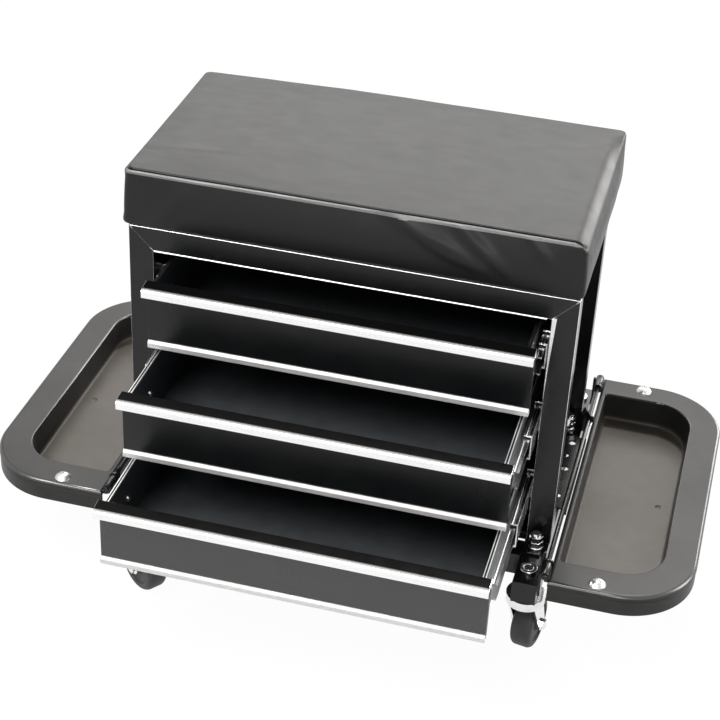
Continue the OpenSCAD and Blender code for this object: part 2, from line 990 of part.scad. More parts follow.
module tray() {
    floor_z = rim_z - pan_h;
    color(tray_paint) placed() {
        difference() {
            union() {
                difference() {
                    tray_skin(0, rim_z - skirt_h);
                    tray_skin(tray_sheet, rim_z - skirt_h - over);
                }
                pan_block(tray_sheet, floor_z - tray_sheet, rim_z - tray_sheet);
            }
            pan_block(0, floor_z, rim_z - slice);
            translate([0, 0, rim_z - tray_sheet - over]) linear_extrude(tray_sheet + 2 * over)
                pan_outline(0);
            notch(-tray_front - over, -arm_front + arm_w + notch_clear);
            notch(arm_rear - arm_w - notch_clear, tray_back + over);
            at_tray_screws() translate([0, 0, -tray_sheet - over])
                cylinder(r = tray_screw_r + running_clear, h = tray_sheet + 2 * over, $fn = 24);
            translate([tray_x0 + dimple_x, -tray_front + dimple_y, floor_z - dimple_depth])
                cylinder(r = dimple_r, h = dimple_depth + over, $fn = 24);
        }
    }
}

module tray_right() {
    tray();
}

module tray_left() {
    mirror([1, 0, 0]) tray();
}

// A flat bar under the rim with a rolled eye on the rod and a heel that stops against the rail
module arm_section() {
    bar_z = rim_z - tray_sheet - arm_t;
    difference() {
        union() {
            translate([rod_x, rod_z]) circle(r = knuckle_r, $fn = 40);
            translate([rod_x, bar_z]) square([arm_reach, arm_t]);
            translate([rail_x1 + seat_clear, rod_z - heel_h]) square([arm_t, heel_h]);
        }
        translate([rod_x, rod_z]) circle(r = rod_r + running_clear, $fn = 32);
    }
}

module tray_arms() {
    color(black_paint) placed() difference() {
        for (y = [-arm_front, arm_rear - arm_w]) along_y(y, arm_w) arm_section();
        at_tray_screws() translate([0, 0, -2 * arm_t - over])
            cylinder(r = tray_screw_r + running_clear, h = 2 * arm_t + 2 * over, $fn = 24);
    }
}

module tray_right_arms() {
    tray_arms();
}

module tray_left_arms() {
    mirror([1, 0, 0]) tray_arms();
}

// Low domed head with a cross recess
module dome_screw() {
    sphere_r = (dome_r * dome_r + dome_h * dome_h) / (2 * dome_h);
    translate([0, 0, -tray_sheet - arm_t]) cylinder(r = tray_screw_r, h = tray_sheet + arm_t, $fn = 24);
    difference() {
        intersection() {
            translate([0, 0, dome_h - sphere_r]) sphere(r = sphere_r, $fn = 48);
            cylinder(r = dome_r, h = dome_h, $fn = 48);
        }
        for (turn = [0, 90]) rotate(turn) translate([0, 0, dome_h])
            cube([screw_slot_l, screw_slot, dome_h], center = true);
    }
}

module tray_screws() {
    color(chrome) placed() at_tray_screws() dome_screw();
}

module tray_right_screws() {
    tray_screws();
}

module tray_left_screws() {
    mirror([1, 0, 0]) tray_screws();
}

module tray_hinge_rods() {
    color(black_paint) placed() both_sides()
        translate([rod_x, -arm_front - rod_over, rod_z]) rotate([-90, 0, 0])
            cylinder(r = rod_r, h = arm_front + arm_rear + 2 * rod_over, $fn = 32);
}

// Diamond ear in front of the rear post
module diamond_ear() {
    difference() {
        union() {
            translate([rod_x, rod_z]) circle(r = ear_r, $fn = 40);
            polygon([
                [rail_x1, rod_z + ear_top], [rod_x + ear_r, rod_z],
                [rail_x1 + ear_leg, rail_top], [rail_x1 - ear_leg, rail_top],
                [rod_x - ear_half, rod_z]
            ]);
            translate([rail_x1, rail_top - ear_leg]) square([ear_leg, rod_z - rail_top + ear_leg]);
        }
        translate([rod_x, rod_z]) circle(r = rod_r + running_clear, $fn = 32);
    }
}

// Narrow upright ear welded to the rail's side near its ends
module upright_ear() {
    difference() {
        union() {
            translate([rod_x, rod_z]) circle(r = ear_r, $fn = 40);
            translate([rail_x1, rod_z - ear_foot]) square([ear_leg, ear_foot + ear_top - ear_leg]);
            translate([rail_x1 + ear_leg / 2, rod_z + ear_top - ear_leg])
                circle(r = ear_leg / 2, $fn = 24);
        }
        translate([rod_x, rod_z]) circle(r = rod_r + running_clear, $fn = 32);
    }
}

module tray_hinge_ears() {
    color(black_paint) placed() both_sides() {
        along_y(-arm_front + arm_w + seat_clear, ear_t) upright_ear();
        along_y(arm_rear - arm_w - seat_clear - ear_t, ear_t) upright_ear();
        along_y(post_front - 2 * ear_t, ear_t) diamond_ear();
    }
}

// Casters

swivel_top = ride_h - stem_flange_h - swivel_gap;
cap_low = swivel_top - cap_h;

module caster_stem() {
    foot_top = swivel_top - cap_web - swivel_gap;
    translate([0, 0, foot_top - stem_foot_h])
        cylinder(r = stem_r, h = rail_top + ring_h - foot_top + stem_foot_h, $fn = 32);
    translate([0, 0, foot_top - stem_foot_h]) cylinder(r = stem_foot_r, h = stem_foot_h, $fn = 32);
    translate([0, 0, ride_h - stem_flange_h]) cylinder(r = stem_flange_r, h = stem_flange_h, $fn = 40);
    translate([0, 0, rail_top]) difference() {
        cylinder(r = ring_r, h = ring_h, $fn = 40);
        translate([0, 0, -over]) cylinder(r = stem_r + running_clear, h = ring_h + 2 * over, $fn = 32);
    }
}

module caster_stems() {
    color(chrome) placed() both_sides() at_stems() caster_stem();
}

leg_y = wheel_w / 2 + leg_gap;

// x points from the stem to the axle
module fork_leg() {
    difference() {
        along_y(leg_y, leg_t) hull() {
            translate([-leg_front, cap_low]) square([leg_front + leg_back, cap_web]);
            translate([trail, wheel_r]) circle(r = axle_boss_r, $fn = 32);
        }
        translate([trail, leg_y - over, wheel_r]) rotate([-90, 0, 0])
            cylinder(r = axle_r + running_clear, h = leg_t + 2 * over, $fn = 32);
    }
}

module fork_cap() {
    difference() {
        translate([0, 0, cap_low]) cylinder(r = cap_r, h = cap_h, $fn = 64);
        translate([0, 0, cap_low - over])
            cylinder(r = cap_r - leg_t, h = cap_h - cap_web + over, $fn = 64);
        translate([0, 0, cap_low]) cylinder(r = stem_r + running_clear, h = cap_h + over, $fn = 32);
    }
    difference() {
        translate([0, 0, cap_low]) cylinder(r = cap_r - leg_t, h = cap_web / 2, $fn = 64);
        translate([0, 0, cap_low - over])
            cylinder(r = stem_foot_r + leg_t, h = cap_web + 2 * over, $fn = 40);
    }
}

module axle() {
    half = leg_y + leg_t;
    translate([trail, -half, wheel_r]) rotate([-90, 0, 0]) {
        cylinder(r = axle_r, h = 2 * half, $fn = 32);
        for (z = [-axle_head_h, 2 * half]) translate([0, 0, z])
            cylinder(r = axle_head_r, h = axle_head_h, $fn = 6);
    }
}

module caster_place(sx, y, turn_share) {
    placed() translate([sx * rail_mid, y, 0]) rotate(360 * turn_share) children();
}

module caster_fork() {
    color(chrome) {
        fork_cap();
        fork_leg();
        mirror([0, 1, 0]) fork_leg();
        axle();
    }
}

module caster_front_left_fork() {
    caster_place(-1, stem_front, turn_shares[0]) caster_fork();
}

module caster_front_right_fork() {
    caster_place(1, stem_front, turn_shares[1]) caster_fork();
}

module caster_rear_left_fork() {
    caster_place(-1, stem_back, turn_shares[2]) caster_fork();
}

module caster_rear_right_fork() {
    caster_place(1, stem_back, turn_shares[3]) caster_fork();
}

module wheel_section() {
    half = wheel_w / 2;
    difference() {
        union() {
            translate([axle_r + running_clear, -half])
                square([wheel_r - tyre_round - axle_r - running_clear, wheel_w]);
            translate([0, -half + tyre_round]) square([wheel_r, wheel_w - 2 * tyre_round]);
            for (s = [-1, 1]) translate([wheel_r - tyre_round, s * (half - tyre_round)])
                circle(r = tyre_round, $fn = 32);
        }
        translate([0, -wheel_w]) square([axle_r + running_clear, 2 * wheel_w]);
        for (s = [0, 1]) mirror([0, s]) translate([hub_r, half - groove_d])
            square([groove_r - hub_r, groove_d + over]);
    }
}

module caster_wheel() {
    color(black_rubber) translate([trail, 0, wheel_r]) rotate([90, 0, 0])
        rotate_extrude($fn = 72) wheel_section();
}

module caster_front_left_wheel() {
    caster_place(-1, stem_front, turn_shares[0]) caster_wheel();
}

module caster_front_right_wheel() {
    caster_place(1, stem_front, turn_shares[1]) caster_wheel();
}

module caster_rear_left_wheel() {
    caster_place(-1, stem_back, turn_shares[2]) caster_wheel();
}

module caster_rear_right_wheel() {
    caster_place(1, stem_back, turn_shares[3]) caster_wheel();
}

seat_cushion();
seat_board();
seat_screws();
frame_head();
frame_sill();
frame_stile_left();
frame_stile_right();
side_panel_left();
side_panel_right();
rear_post_left();
rear_post_right();
back_panel();
top_panel();
floor_panel();
rail_left();
rail_right();
crossbar_front();
crossbar_rear();
rail_bolts();
tool_strips();
slide_outer_members();
slide_1_middle();
slide_2_middle();
slide_3_middle();
slide_1_balls();
slide_2_balls();
slide_3_balls();
slide_1_inner();
slide_2_inner();
slide_3_inner();
drawer_1_box();
drawer_2_box();
drawer_3_box();
drawer_1_front();
drawer_2_front();
drawer_3_front();
drawer_1_pull();
drawer_2_pull();
drawer_3_pull();
drawer_1_trim();
drawer_2_trim();
drawer_3_trim();
tray_left();
tray_right();
tray_left_arms();
tray_right_arms();
tray_left_screws();
tray_right_screws();
tray_hinge_rods();
tray_hinge_ears();
caster_stems();
caster_front_left_fork();
caster_front_right_fork();
caster_rear_left_fork();
caster_rear_right_fork();
caster_front_left_wheel();
caster_front_right_wheel();
caster_rear_left_wheel();
caster_rear_right_wheel();
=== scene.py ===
"""The look of the creeper seat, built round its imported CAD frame."""

import json
import math

import bmesh
import bpy
from mathutils import Matrix, Vector, noise


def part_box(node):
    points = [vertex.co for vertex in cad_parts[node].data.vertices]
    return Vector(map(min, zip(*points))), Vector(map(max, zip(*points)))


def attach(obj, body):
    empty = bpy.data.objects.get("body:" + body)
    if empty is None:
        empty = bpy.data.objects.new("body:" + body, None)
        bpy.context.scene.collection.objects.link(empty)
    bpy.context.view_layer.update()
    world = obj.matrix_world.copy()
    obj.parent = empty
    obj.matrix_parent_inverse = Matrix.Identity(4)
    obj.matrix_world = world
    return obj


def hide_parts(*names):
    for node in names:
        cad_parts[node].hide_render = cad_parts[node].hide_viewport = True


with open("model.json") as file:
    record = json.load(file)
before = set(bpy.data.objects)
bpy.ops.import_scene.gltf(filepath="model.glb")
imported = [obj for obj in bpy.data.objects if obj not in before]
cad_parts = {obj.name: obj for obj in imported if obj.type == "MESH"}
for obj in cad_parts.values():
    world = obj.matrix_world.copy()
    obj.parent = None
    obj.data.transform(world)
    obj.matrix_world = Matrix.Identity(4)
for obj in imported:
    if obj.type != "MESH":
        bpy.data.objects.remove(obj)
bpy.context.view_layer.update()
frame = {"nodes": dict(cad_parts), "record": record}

MM = 0.001
DRAWERS = (1, 2, 3)


def show(name, data):
    """A new object with this data, linked to the scene."""
    made = bpy.data.objects.new(name, data)
    bpy.context.scene.collection.objects.link(made)
    return made


def clamp(value):
    """value kept between 0 and 1."""
    return max(0.0, min(1.0, value))


# Camera, as in the photograph

CAMERA_AT = (0.36153, -1.52193, 1.26304)
AZIMUTH = math.radians(13.29)
ELEVATION = math.radians(32.86)
ROLL = math.radians(2.95)
LENS = 90.41
SENSOR = 36.0
NEAREST = 0.05
FARTHEST = 50


def add_camera():
    back = Vector((
        math.sin(AZIMUTH) * math.cos(ELEVATION),
        -math.cos(AZIMUTH) * math.cos(ELEVATION),
        math.sin(ELEVATION),
    ))
    right = Vector((math.cos(AZIMUTH), math.sin(AZIMUTH), 0))
    up = back.cross(right)
    across = math.cos(ROLL) * right + math.sin(ROLL) * up
    along = math.cos(ROLL) * up - math.sin(ROLL) * right
    data = bpy.data.cameras.new("camera")
    data.lens = LENS
    data.sensor_width = SENSOR
    data.clip_start = NEAREST
    data.clip_end = FARTHEST
    camera = show("camera", data)
    turn = Matrix((across, along, back)).transposed().to_4x4()
    camera.matrix_world = Matrix.Translation(CAMERA_AT) @ turn
    bpy.context.scene.camera = camera


# Materials

class Nodes:
    """Short ways to add nodes to one node tree."""

    def __init__(self, tree):
        self.tree = tree

    def give(self, socket, value):
        """Links an output to the socket, or sets the socket to a plain value."""
        if hasattr(value, "is_output"):
            self.tree.links.new(value, socket)
        else:
            socket.default_value = value

    def node(self, kind, inputs=(), **settings):
        made = self.tree.nodes.new(kind)
        for key, value in settings.items():
            setattr(made, key, value)
        for key, value in dict(inputs).items():
            self.give(made.inputs[key], value)
        return made

    def calculate(self, operation, *values):
        """One step of arithmetic on outputs or plain numbers."""
        made = self.node("ShaderNodeMath", dict(enumerate(values)), operation=operation)
        return made.outputs[0]

    def away_from(self, value, middle):
        """How far value lies from the middle, on either side."""
        return self.calculate("ABSOLUTE", self.calculate("SUBTRACT", value, middle))

    def between(self, value, low, high, start=0.3, end=0.7):
        """value from start to end, turned into a number from low to high."""
        made = self.node("ShaderNodeMapRange", {
            "Value": value, "From Min": start, "From Max": end, "To Min": low, "To Max": high,
        })
        return made.outputs["Result"]

    def blend(self, share, first, second):
        """The first colour where share is 0, the second where it is 1."""
        made = self.node("ShaderNodeMix", {0: share, 6: first, 7: second}, data_type="RGBA")
        return made.outputs[2]


class Surface(Nodes):
    """One Principled material."""

    def __init__(self, name, **values):
        self.material = bpy.data.materials.new(name)
        self.material.use_nodes = True
        super().__init__(self.material.node_tree)
        self.shader = self.tree.nodes["Principled BSDF"]
        for socket, value in values.items():
            self.shader.inputs[socket.replace("_", " ")].default_value = value

    def feed(self, socket, output):
        self.tree.links.new(output, self.shader.inputs[socket])

    def place(self, stretch=(1, 1, 1)):
        """Object coordinates in metres, stretched along the axes."""
        coordinates = self.node("ShaderNodeTexCoord")
        mapped = self.node("ShaderNodeMapping", {
            "Vector": coordinates.outputs["Object"], "Scale": stretch,
        })
        return mapped.outputs["Vector"]

    def axes(self):
        """The place's three outputs X, Y and Z."""
        return self.node("ShaderNodeSeparateXYZ", {"Vector": self.place()}).outputs

    def clouds(self, scale, detail=3, stretch=(1, 1, 1)):
        made = self.node("ShaderNodeTexNoise", {
            "Vector": self.place(stretch), "Scale": scale, "Detail": detail, "Roughness": 0.55,
        })
        return made.outputs["Fac"]

    def bumps(self, *layers):
        """Layers of (height, depth in metres, strength), the first one lowest."""
        normal = None
        for height, depth, strength in layers:
            inputs = {"Height": height, "Distance": depth, "Strength": strength}
            if normal is not None:
                inputs["Normal"] = normal
            normal = self.node("ShaderNodeBump", inputs).outputs["Normal"]
        self.feed("Normal", normal)

    def sprayed(self, smoothest, roughest):
        """Orange peel and cloudy gloss; gives the share of dust, from 0 to 1."""
        broad = self.clouds(9, detail=4)
        fine = self.clouds(1100, detail=2)
        patches = self.clouds(55, detail=5)
        self.feed("Roughness", self.between(broad, smoothest, roughest))
        self.bumps((fine, 0.12 * MM, 0.35), (patches, 0.2 * MM, 0.12))
        return self.between(patches, 0, 1)


def grey(level, warm=0.0):
    return (level * (1 + warm), level, level * (1 - warm), 1)


def powder_coat(name, level, roughness, gloss, warm=0.0):
    """Sprayed coat: fine orange peel, cloudy gloss, a little dust."""
    surface = Surface(name, Specular_IOR_Level=gloss)
    dust = surface.sprayed(roughness - 0.06, roughness + 0.08)
    clean, dusty = grey(level * 0.85, warm), grey(level * 1.2, warm)
    surface.feed("Base Color", surface.blend(dust, clean, dusty))
    return surface.material


HEM_WIDE = 3.5 * MM
HEM_HIGH = 2 * MM
# A painted highlight line begins this far inside a hem's edge, faint and then full, and ends outside
# it
HIGHLIGHT_INSIDE = (1.0 * MM, 0.7 * MM)
HIGHLIGHT_OUTSIDE = (0.1 * MM, 0.3 * MM)


def painted_highlight_hem(surface, x, box_half):
    """1 on a painted highlight line along both edges of each side's hem, else 0."""
    half = HEM_WIDE / 2
    across = surface.calculate("ABSOLUTE", x)
    from_middle = surface.away_from(across, box_half - half)
    line = surface.between(from_middle, 0, 1, *(half - away for away in HIGHLIGHT_INSIDE))
    on_hem = surface.between(from_middle, 1, 0, *(half + away for away in HIGHLIGHT_OUTSIDE))
    return surface.calculate("MULTIPLY", line, on_hem)


def drawer_coat(n):
    """A drawer box's coat: greyer inside, painted black on the hems as painted shade, with painted
    highlight lines along the hems' edges, bright below drawer 1 and dark on drawer 1.
    """
    surface = Surface(f"drawer_{n}_paint", Specular_IOR_Level=0.22)
    dust = surface.sprayed(0.36, 0.5)
    box_half, _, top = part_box(f"drawer_{n}_box")[1]
    axes = surface.axes()
    folded = surface.between(axes["Z"], 0, 1, top - HEM_HIGH, top - HEM_HIGH / 2)
    inside = surface.blend(dust, grey(0.038, -0.1), grey(0.052, -0.1))
    # The hem tops are coloured near-black: painted shade.
    painted = surface.blend(folded, inside, grey(0.004))
    # Bright metallic lines along the hem edges are painted highlights, bright below drawer 1 and dark
    # on it.
    painted_highlight = surface.calculate("MULTIPLY", painted_highlight_hem(surface, axes["X"], box_half), folded)
    highlight_grey = grey(0.85 if n > 1 else 0.03)
    surface.feed("Base Color", surface.blend(painted_highlight, painted, highlight_grey))
    surface.feed("Metallic", surface.between(painted_highlight, 0, 0.8, 0, 1))
    return surface.material


TRAY_LOW, TRAY_HIGH = (Vector(corner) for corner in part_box("tray_right"))
RIM_DROP = 2 * MM
FLOOR_DROP = 30 * MM


def tray_coat():
    """The trays' satin coat, rubbed paler and browner on the pan floor."""
    surface = Surface("tray_paint", Specular_IOR_Level=0.21)
    dust = surface.sprayed(0.33, 0.45)
    height = surface.axes()["Z"]
    low_down = surface.between(height, 1, 0, TRAY_HIGH.z - FLOOR_DROP, TRAY_HIGH.z - RIM_DROP)
    rim = surface.blend(dust, grey(0.013, 0.02), grey(0.018, 0.02))
    worn = surface.blend(dust, grey(0.043, 0.14), grey(0.052, 0.14))
    on_floor = surface.between(low_down, 0, 1, 0.85, 1)
    surface.feed("Base Color", surface.blend(on_floor, rim, worn))
    return surface.material


def vinyl(name, level, roughness, gloss):
    """Soft vinyl: pebble grain, faint creases and a satin sheen."""
    surface = Surface(name, Specular_IOR_Level=gloss, Sheen_Weight=0.02, Sheen_Roughness=0.4)
    place = surface.place()
    warp = surface.node("ShaderNodeTexNoise", {"Vector": place, "Scale": 260, "Detail": 2})
    bent = surface.node(
        "ShaderNodeMix", {0: 0.0016, 4: place, 5: warp.outputs["Color"]}, data_type="VECTOR"
    )
    cells = surface.node(
        "ShaderNodeTexVoronoi", {"Vector": bent.outputs[1], "Scale": 900}, feature="DISTANCE_TO_EDGE"
    )
    pebble = surface.between(cells.outputs["Distance"], 0, 1, 0.0, 0.22)
    creases = surface.clouds(14, detail=4)
    mottled = surface.clouds(70, detail=4, stretch=(0.5, 1, 1))
    pores = surface.clouds(2600, detail=2)
    surface.feed("Roughness", surface.between(mottled, roughness - 0.035, roughness + 0.035))
    hollow, raised = grey(level * 0.67, -0.03), grey(level * 1.33, -0.03)
    surface.feed("Base Color", surface.blend(pebble, hollow, raised))
    surface.bumps((creases, 1.5 * MM, 0.12), (pebble, 0.08 * MM, 0.3), (pores, 0.03 * MM, 0.15))
    return surface.material


def painted_seam_shade():
    """The stitched seam's groove, nearly black as painted shade: dull, with a thread's fine grain."""
    surface = Surface("seam", Specular_IOR_Level=0.05, Roughness=0.9)
    twist = surface.clouds(1500, detail=2, stretch=(1, 0.3, 1))
    surface.feed("Base Color", surface.blend(twist, grey(0.002), grey(0.006)))
    surface.bumps((twist, 0.1 * MM, 0.4))
    return surface.material


def brushed(name, level, roughness, along):
    """Bright drawn or plated metal with its grain along one axis."""
    surface = Surface(name, Metallic=1.0)
    lines = surface.clouds(3200, stretch=tuple(0.02 if axis == along else 1.0 for axis in "xyz"))
    smudges = surface.clouds(38, detail=4)
    surface.feed("Roughness", surface.between(smudges, roughness - 0.05, roughness + 0.09))
    dark, bright = grey(level * 0.9), grey(min(level * 1.06, 0.98))
    surface.feed("Base Color", surface.blend(surface.between(lines, 0, 1), dark, bright))
    surface.bumps((lines, 0.02 * MM, 0.2))
    return surface.material


def chrome():
    surface = Surface("chrome", Metallic=1.0)
    wipes = surface.clouds(60, detail=5)
    scratches = surface.clouds(1800, stretch=(1, 0.08, 1))
    surface.feed("Roughness", surface.between(wipes, 0.06, 0.16))
    surface.feed("Base Color", surface.blend(surface.between(wipes, 0, 1), grey(0.72), grey(0.86)))
    surface.bumps((scratches, 0.01 * MM, 0.15))
    return surface.material


def satin_metal(name, level, roughness):
    """Softly shining metal with a fine grain and faint handling marks."""
    surface = Surface(name, Metallic=0.8, Specular_IOR_Level=0.6)
    fine = surface.clouds(1500, detail=2, stretch=(0.15, 1, 1))
    broad = surface.clouds(30, detail=4)
    surface.feed("Roughness", surface.between(broad, roughness - 0.05, roughness + 0.07))
    dark, bright = grey(level * 0.92), grey(level * 1.08)
    surface.feed("Base Color", surface.blend(surface.between(fine, 0, 1), dark, bright))
    surface.bumps((fine, 0.06 * MM, 0.25))
    return surface.material


# The painted highlight on a pull's black sheet, a grey stretch from the pull's front backwards
HIGHLIGHT_FROM = 1.4 * MM
HIGHLIGHT_TO = 4.6 * MM


def shade_sheet_coat(n):
    """A pull's black sheet as painted shade, with a grey painted highlight where it meets the bright
    band.
    """
    surface = Surface(f"insert_{n}", Specular_IOR_Level=0.035)
    fine = surface.clouds(1300, detail=2)
    dust = surface.clouds(60, detail=4)
    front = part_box(f"drawer_{n}_pull")[0][1]
    highlight_near_band = surface.between(surface.axes()["Y"], 1, 0, front + HIGHLIGHT_FROM, front + HIGHLIGHT_TO)
    surface.feed("Base Color", surface.blend(highlight_near_band, grey(0.002), grey(0.5)))
    surface.feed("Roughness", surface.between(dust, 0.42, 0.56))
    surface.bumps((fine, 0.1 * MM, 0.3))
    return surface.material


FRAME_LOW, FRAME_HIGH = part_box("frame_head")
FRAME_WIDE = FRAME_HIGH[2] - FRAME_LOW[2]
# How far inside a member's edges the painted highlight begins, faint and then full
EDGE_HIGHLIGHT = (4 * MM, 2 * MM)


def frame_highlight():
    """The face frame's rounded edges, painted with a highlight round the outside and the opening, and
    dull at the mitres.
    """
    surface = Surface("frame_highlight", Metallic=0.8, Specular_IOR_Level=0.6)
    fine = surface.clouds(1500, detail=2)
    worn = surface.clouds(120, detail=4)
    axes = surface.axes()
    from_side = surface.calculate("SUBTRACT", FRAME_HIGH[0], surface.calculate("ABSOLUTE", axes["X"]))
    from_top = surface.calculate("SUBTRACT", FRAME_HIGH[2], axes["Z"])
    from_rim = surface.calculate("MINIMUM", from_side, from_top)
    half = FRAME_WIDE / 2
    from_middle = surface.away_from(from_rim, half)
    highlight_share = surface.between(from_middle, 0.12, 1, *(half - away for away in EDGE_HIGHLIGHT))
    # The painted highlight's colour, with a fine grain.
    bright = surface.blend(surface.between(fine, 0, 1), grey(0.7), grey(0.86))
    surface.feed("Base Color", surface.blend(highlight_share, grey(0.03), bright))
    surface.feed("Roughness", surface.between(worn, 0.22, 0.36))
    surface.bumps((fine, 0.06 * MM, 0.25))
    return surface.material


def rubber():
    surface = Surface("wheel_rubber", Specular_IOR_Level=0.45)
    grains = surface.clouds(1400)
    dust = surface.clouds(45, detail=5)
    surface.feed("Roughness", surface.between(dust, 0.48, 0.7))
    dusty = surface.between(dust, 0, 1, 0.45, 0.75)
    surface.feed("Base Color", surface.blend(dusty, grey(0.02), grey(0.05, 0.06)))
    surface.bumps((grains, 0.1 * MM, 0.3))
    return surface.material


def plywood():
    surface = Surface("board_wood", Roughness=0.72)
    grain = surface.clouds(240, detail=5, stretch=(0.06, 1, 1))
    plies = surface.node(
        "ShaderNodeTexWave", {"Vector": surface.place(), "Scale": 60, "Distortion": 0.6},
        bands_direction="Z",
    )
    pale, tan, brown = (0.66, 0.48, 0.3, 1), (0.5, 0.34, 0.19, 1), (0.36, 0.23, 0.12, 1)
    layered = surface.blend(surface.between(grain, 0, 1), tan, pale)
    surface.feed("Base Color", surface.blend(plies.outputs["Fac"], layered, brown))
    surface.bumps((grain, 0.3 * MM, 0.4))
    return surface.material


MATERIALS = {
    "vinyl": vinyl("vinyl", level=0.005, roughness=0.4, gloss=0.26),
    # Glossier vinyl for the front roll, with a lighter base: a painted highlight.
    "welt_highlight": vinyl("welt_highlight", level=0.06, roughness=0.43, gloss=1.0),
    # Near-black seam groove: painted shade.
    "seam": painted_seam_shade(),
    "board_wood": plywood(),
    "black_paint": powder_coat("black_paint", level=0.004, roughness=0.22, gloss=0.34, warm=-0.1),
    # A lighter, glossier copy of the black paint for the lowest drawer's front: painted reflection.
    "painted_reflection_front": powder_coat("painted_reflection_front", level=0.008, roughness=0.24, gloss=0.9),
    "tray_edge": powder_coat("tray_edge", level=0.012, roughness=0.26, gloss=1.0),
    "tray_paint": tray_coat(),
    # Bright satin metal used as a painted highlight on edges.
    "painted_highlight_edge": satin_metal("painted_highlight_edge", level=0.8, roughness=0.28),
    "grey_trim": satin_metal("grey_trim", level=0.56, roughness=0.58),
    # Painted highlight on the face frame's rounded edges.
    "frame_highlight": frame_highlight(),
    "screw_zinc": brushed("screw_zinc", level=0.66, roughness=0.3, along="y"),
    "zinc": brushed("zinc", level=0.8, roughness=0.2, along="y"),
    "aluminium": brushed("aluminium", level=0.94, roughness=0.2, along="x"),
    "chrome": chrome(),
    "wheel_rubber": rubber(),
}
for n in DRAWERS:
    MATERIALS[f"drawer_{n}_paint"] = drawer_coat(n)
    # The pulls' black sheets: painted shade, with a painted highlight near the band.
    MATERIALS[f"insert_{n}"] = shade_sheet_coat(n)


# CAD nodes that stay: a better material and rounded edges

FINISHES = {
    # The lowest drawer's front gets the lighter copy: painted reflection.
    "drawer_3_front": "painted_reflection_front",
    "tray_left_screws": "screw_zinc", "tray_right_screws": "screw_zinc",
}
# Nodes whose rounded edges are coloured bright: painted highlights.
PAINTED_HIGHLIGHT_EDGED = ["frame_head", "frame_stile_left", "frame_stile_right", "slide_outer_members"]
# How wide each node's edges are rounded, in millimetres
EDGES = {
    "frame_head": 1.1, "frame_sill": 0.8, "frame_stile_left": 1.1, "frame_stile_right": 1.1,
    "side_panel_left": 0.4, "side_panel_right": 0.4, "rear_post_left": 1.0, "rear_post_right": 1.0,
    "back_panel": 0.5, "top_panel": 0.5, "rail_left": 1.2, "rail_right": 1.2,
    "crossbar_front": 1.0, "crossbar_rear": 1.0, "tool_strips": 0.5, "rail_bolts": 0.5,
    "tray_left_arms": 0.6, "tray_right_arms": 0.6, "tray_hinge_rods": 0.5, "tray_hinge_ears": 0.6,
    "caster_stems": 0.5, "slide_outer_members": 0.35,
}
for n in DRAWERS:
    FINISHES[f"drawer_{n}_box"] = f"drawer_{n}_paint"
    PAINTED_HIGHLIGHT_EDGED += [f"slide_{n}_inner", f"slide_{n}_middle"]
    EDGES.update({
        f"drawer_{n}_box": 0.4, f"drawer_{n}_front": 0.5, f"drawer_{n}_pull": 0.35,
        f"drawer_{n}_trim": 0.4, f"slide_{n}_middle": 0.45, f"slide_{n}_inner": 0.45,
    })
for corner in ("front_left", "front_right", "rear_left", "rear_right"):
    EDGES.update({f"caster_{corner}_fork": 0.5, f"caster_{corner}_wheel": 0.6})


def soften(node, width):
    """Rounds a CAD node's sharp edges with modifiers and leaves its mesh alone; on the frame and slide
    members listed for it, the rounded faces get a painted highlight material.
    """
    piece = frame["nodes"][node]
    weld = piece.modifiers.new("weld", "WELD")
    weld.merge_threshold = 0.002 * MM
    flat = piece.modifiers.new("flat faces", "DECIMATE")
    flat.decimate_type = "DISSOLVE"
    flat.angle_limit = math.radians(0.4)
    edges = piece.modifiers.new("edges", "BEVEL")
    edges.width = width * MM
    edges.segments = 2
    edges.limit_method = "ANGLE"
    edges.angle_limit = math.radians(32)
    edges.harden_normals = True
    edges.miter_outer = "MITER_ARC"
    # The rounded faces of these nodes get a painted highlight.
    if node in PAINTED_HIGHLIGHT_EDGED:
        highlight_material = "frame_highlight" if node.startswith("frame") else "painted_highlight_edge"
        piece.data.materials.append(MATERIALS[highlight_material])
        edges.material = 1


def dress_cad_nodes():
    for row in frame["record"]["subparts"]:
        piece = frame["nodes"][row["node"]]
        material = MATERIALS[FINISHES.get(row["node"], row["material_slot"])]
        for slot in piece.material_slots:
            slot.material = material
    for node, width in EDGES.items():
        soften(node, width)


# Building blocks for new pieces

def mesh_from(name, bm, material):
    """A new mesh of one material that takes over bm."""
    mesh = bpy.data.meshes.new(name)
    bm.to_mesh(mesh)
    bm.free()
    mesh.materials.append(material)
    return mesh


def shade(piece, smooth_angle):
    """Smooth but for edges sharper than smooth_angle."""
    mesh = piece.data
    mesh.polygons.foreach_set("use_smooth", [True] * len(mesh.polygons))
    mesh.set_sharp_from_angle(angle=math.radians(smooth_angle))


def add_piece(name, bm, material, smooth_angle=30):
    """A new object from bm, with its double points merged and its faces turned outwards."""
    bmesh.ops.remove_doubles(bm, verts=bm.verts, dist=0.005 * MM)
    bmesh.ops.recalc_face_normals(bm, faces=bm.faces)
    piece = show(name, mesh_from(name, bm, material))
    shade(piece, smooth_angle)
    return piece


def apply_modifiers(piece):
    """Turns the piece's modifiers into plain mesh."""
    graph = bpy.context.evaluated_depsgraph_get()
    mesh = bpy.data.meshes.new_from_object(piece.evaluated_get(graph))
    old = piece.data
    piece.modifiers.clear()
    piece.data = mesh
    bpy.data.meshes.remove(old)


def thicken(piece, thickness):
    """Gives an open sheet its thickness, inwards."""
    sheet = piece.modifiers.new("sheet", "SOLIDIFY")
    sheet.thickness = thickness
    sheet.offset = -1
    apply_modifiers(piece)


def mend_normals(piece):
    weighted = piece.modifiers.new("even shading", "WEIGHTED_NORMAL")
    weighted.keep_sharp = True
    weighted.weight = 80


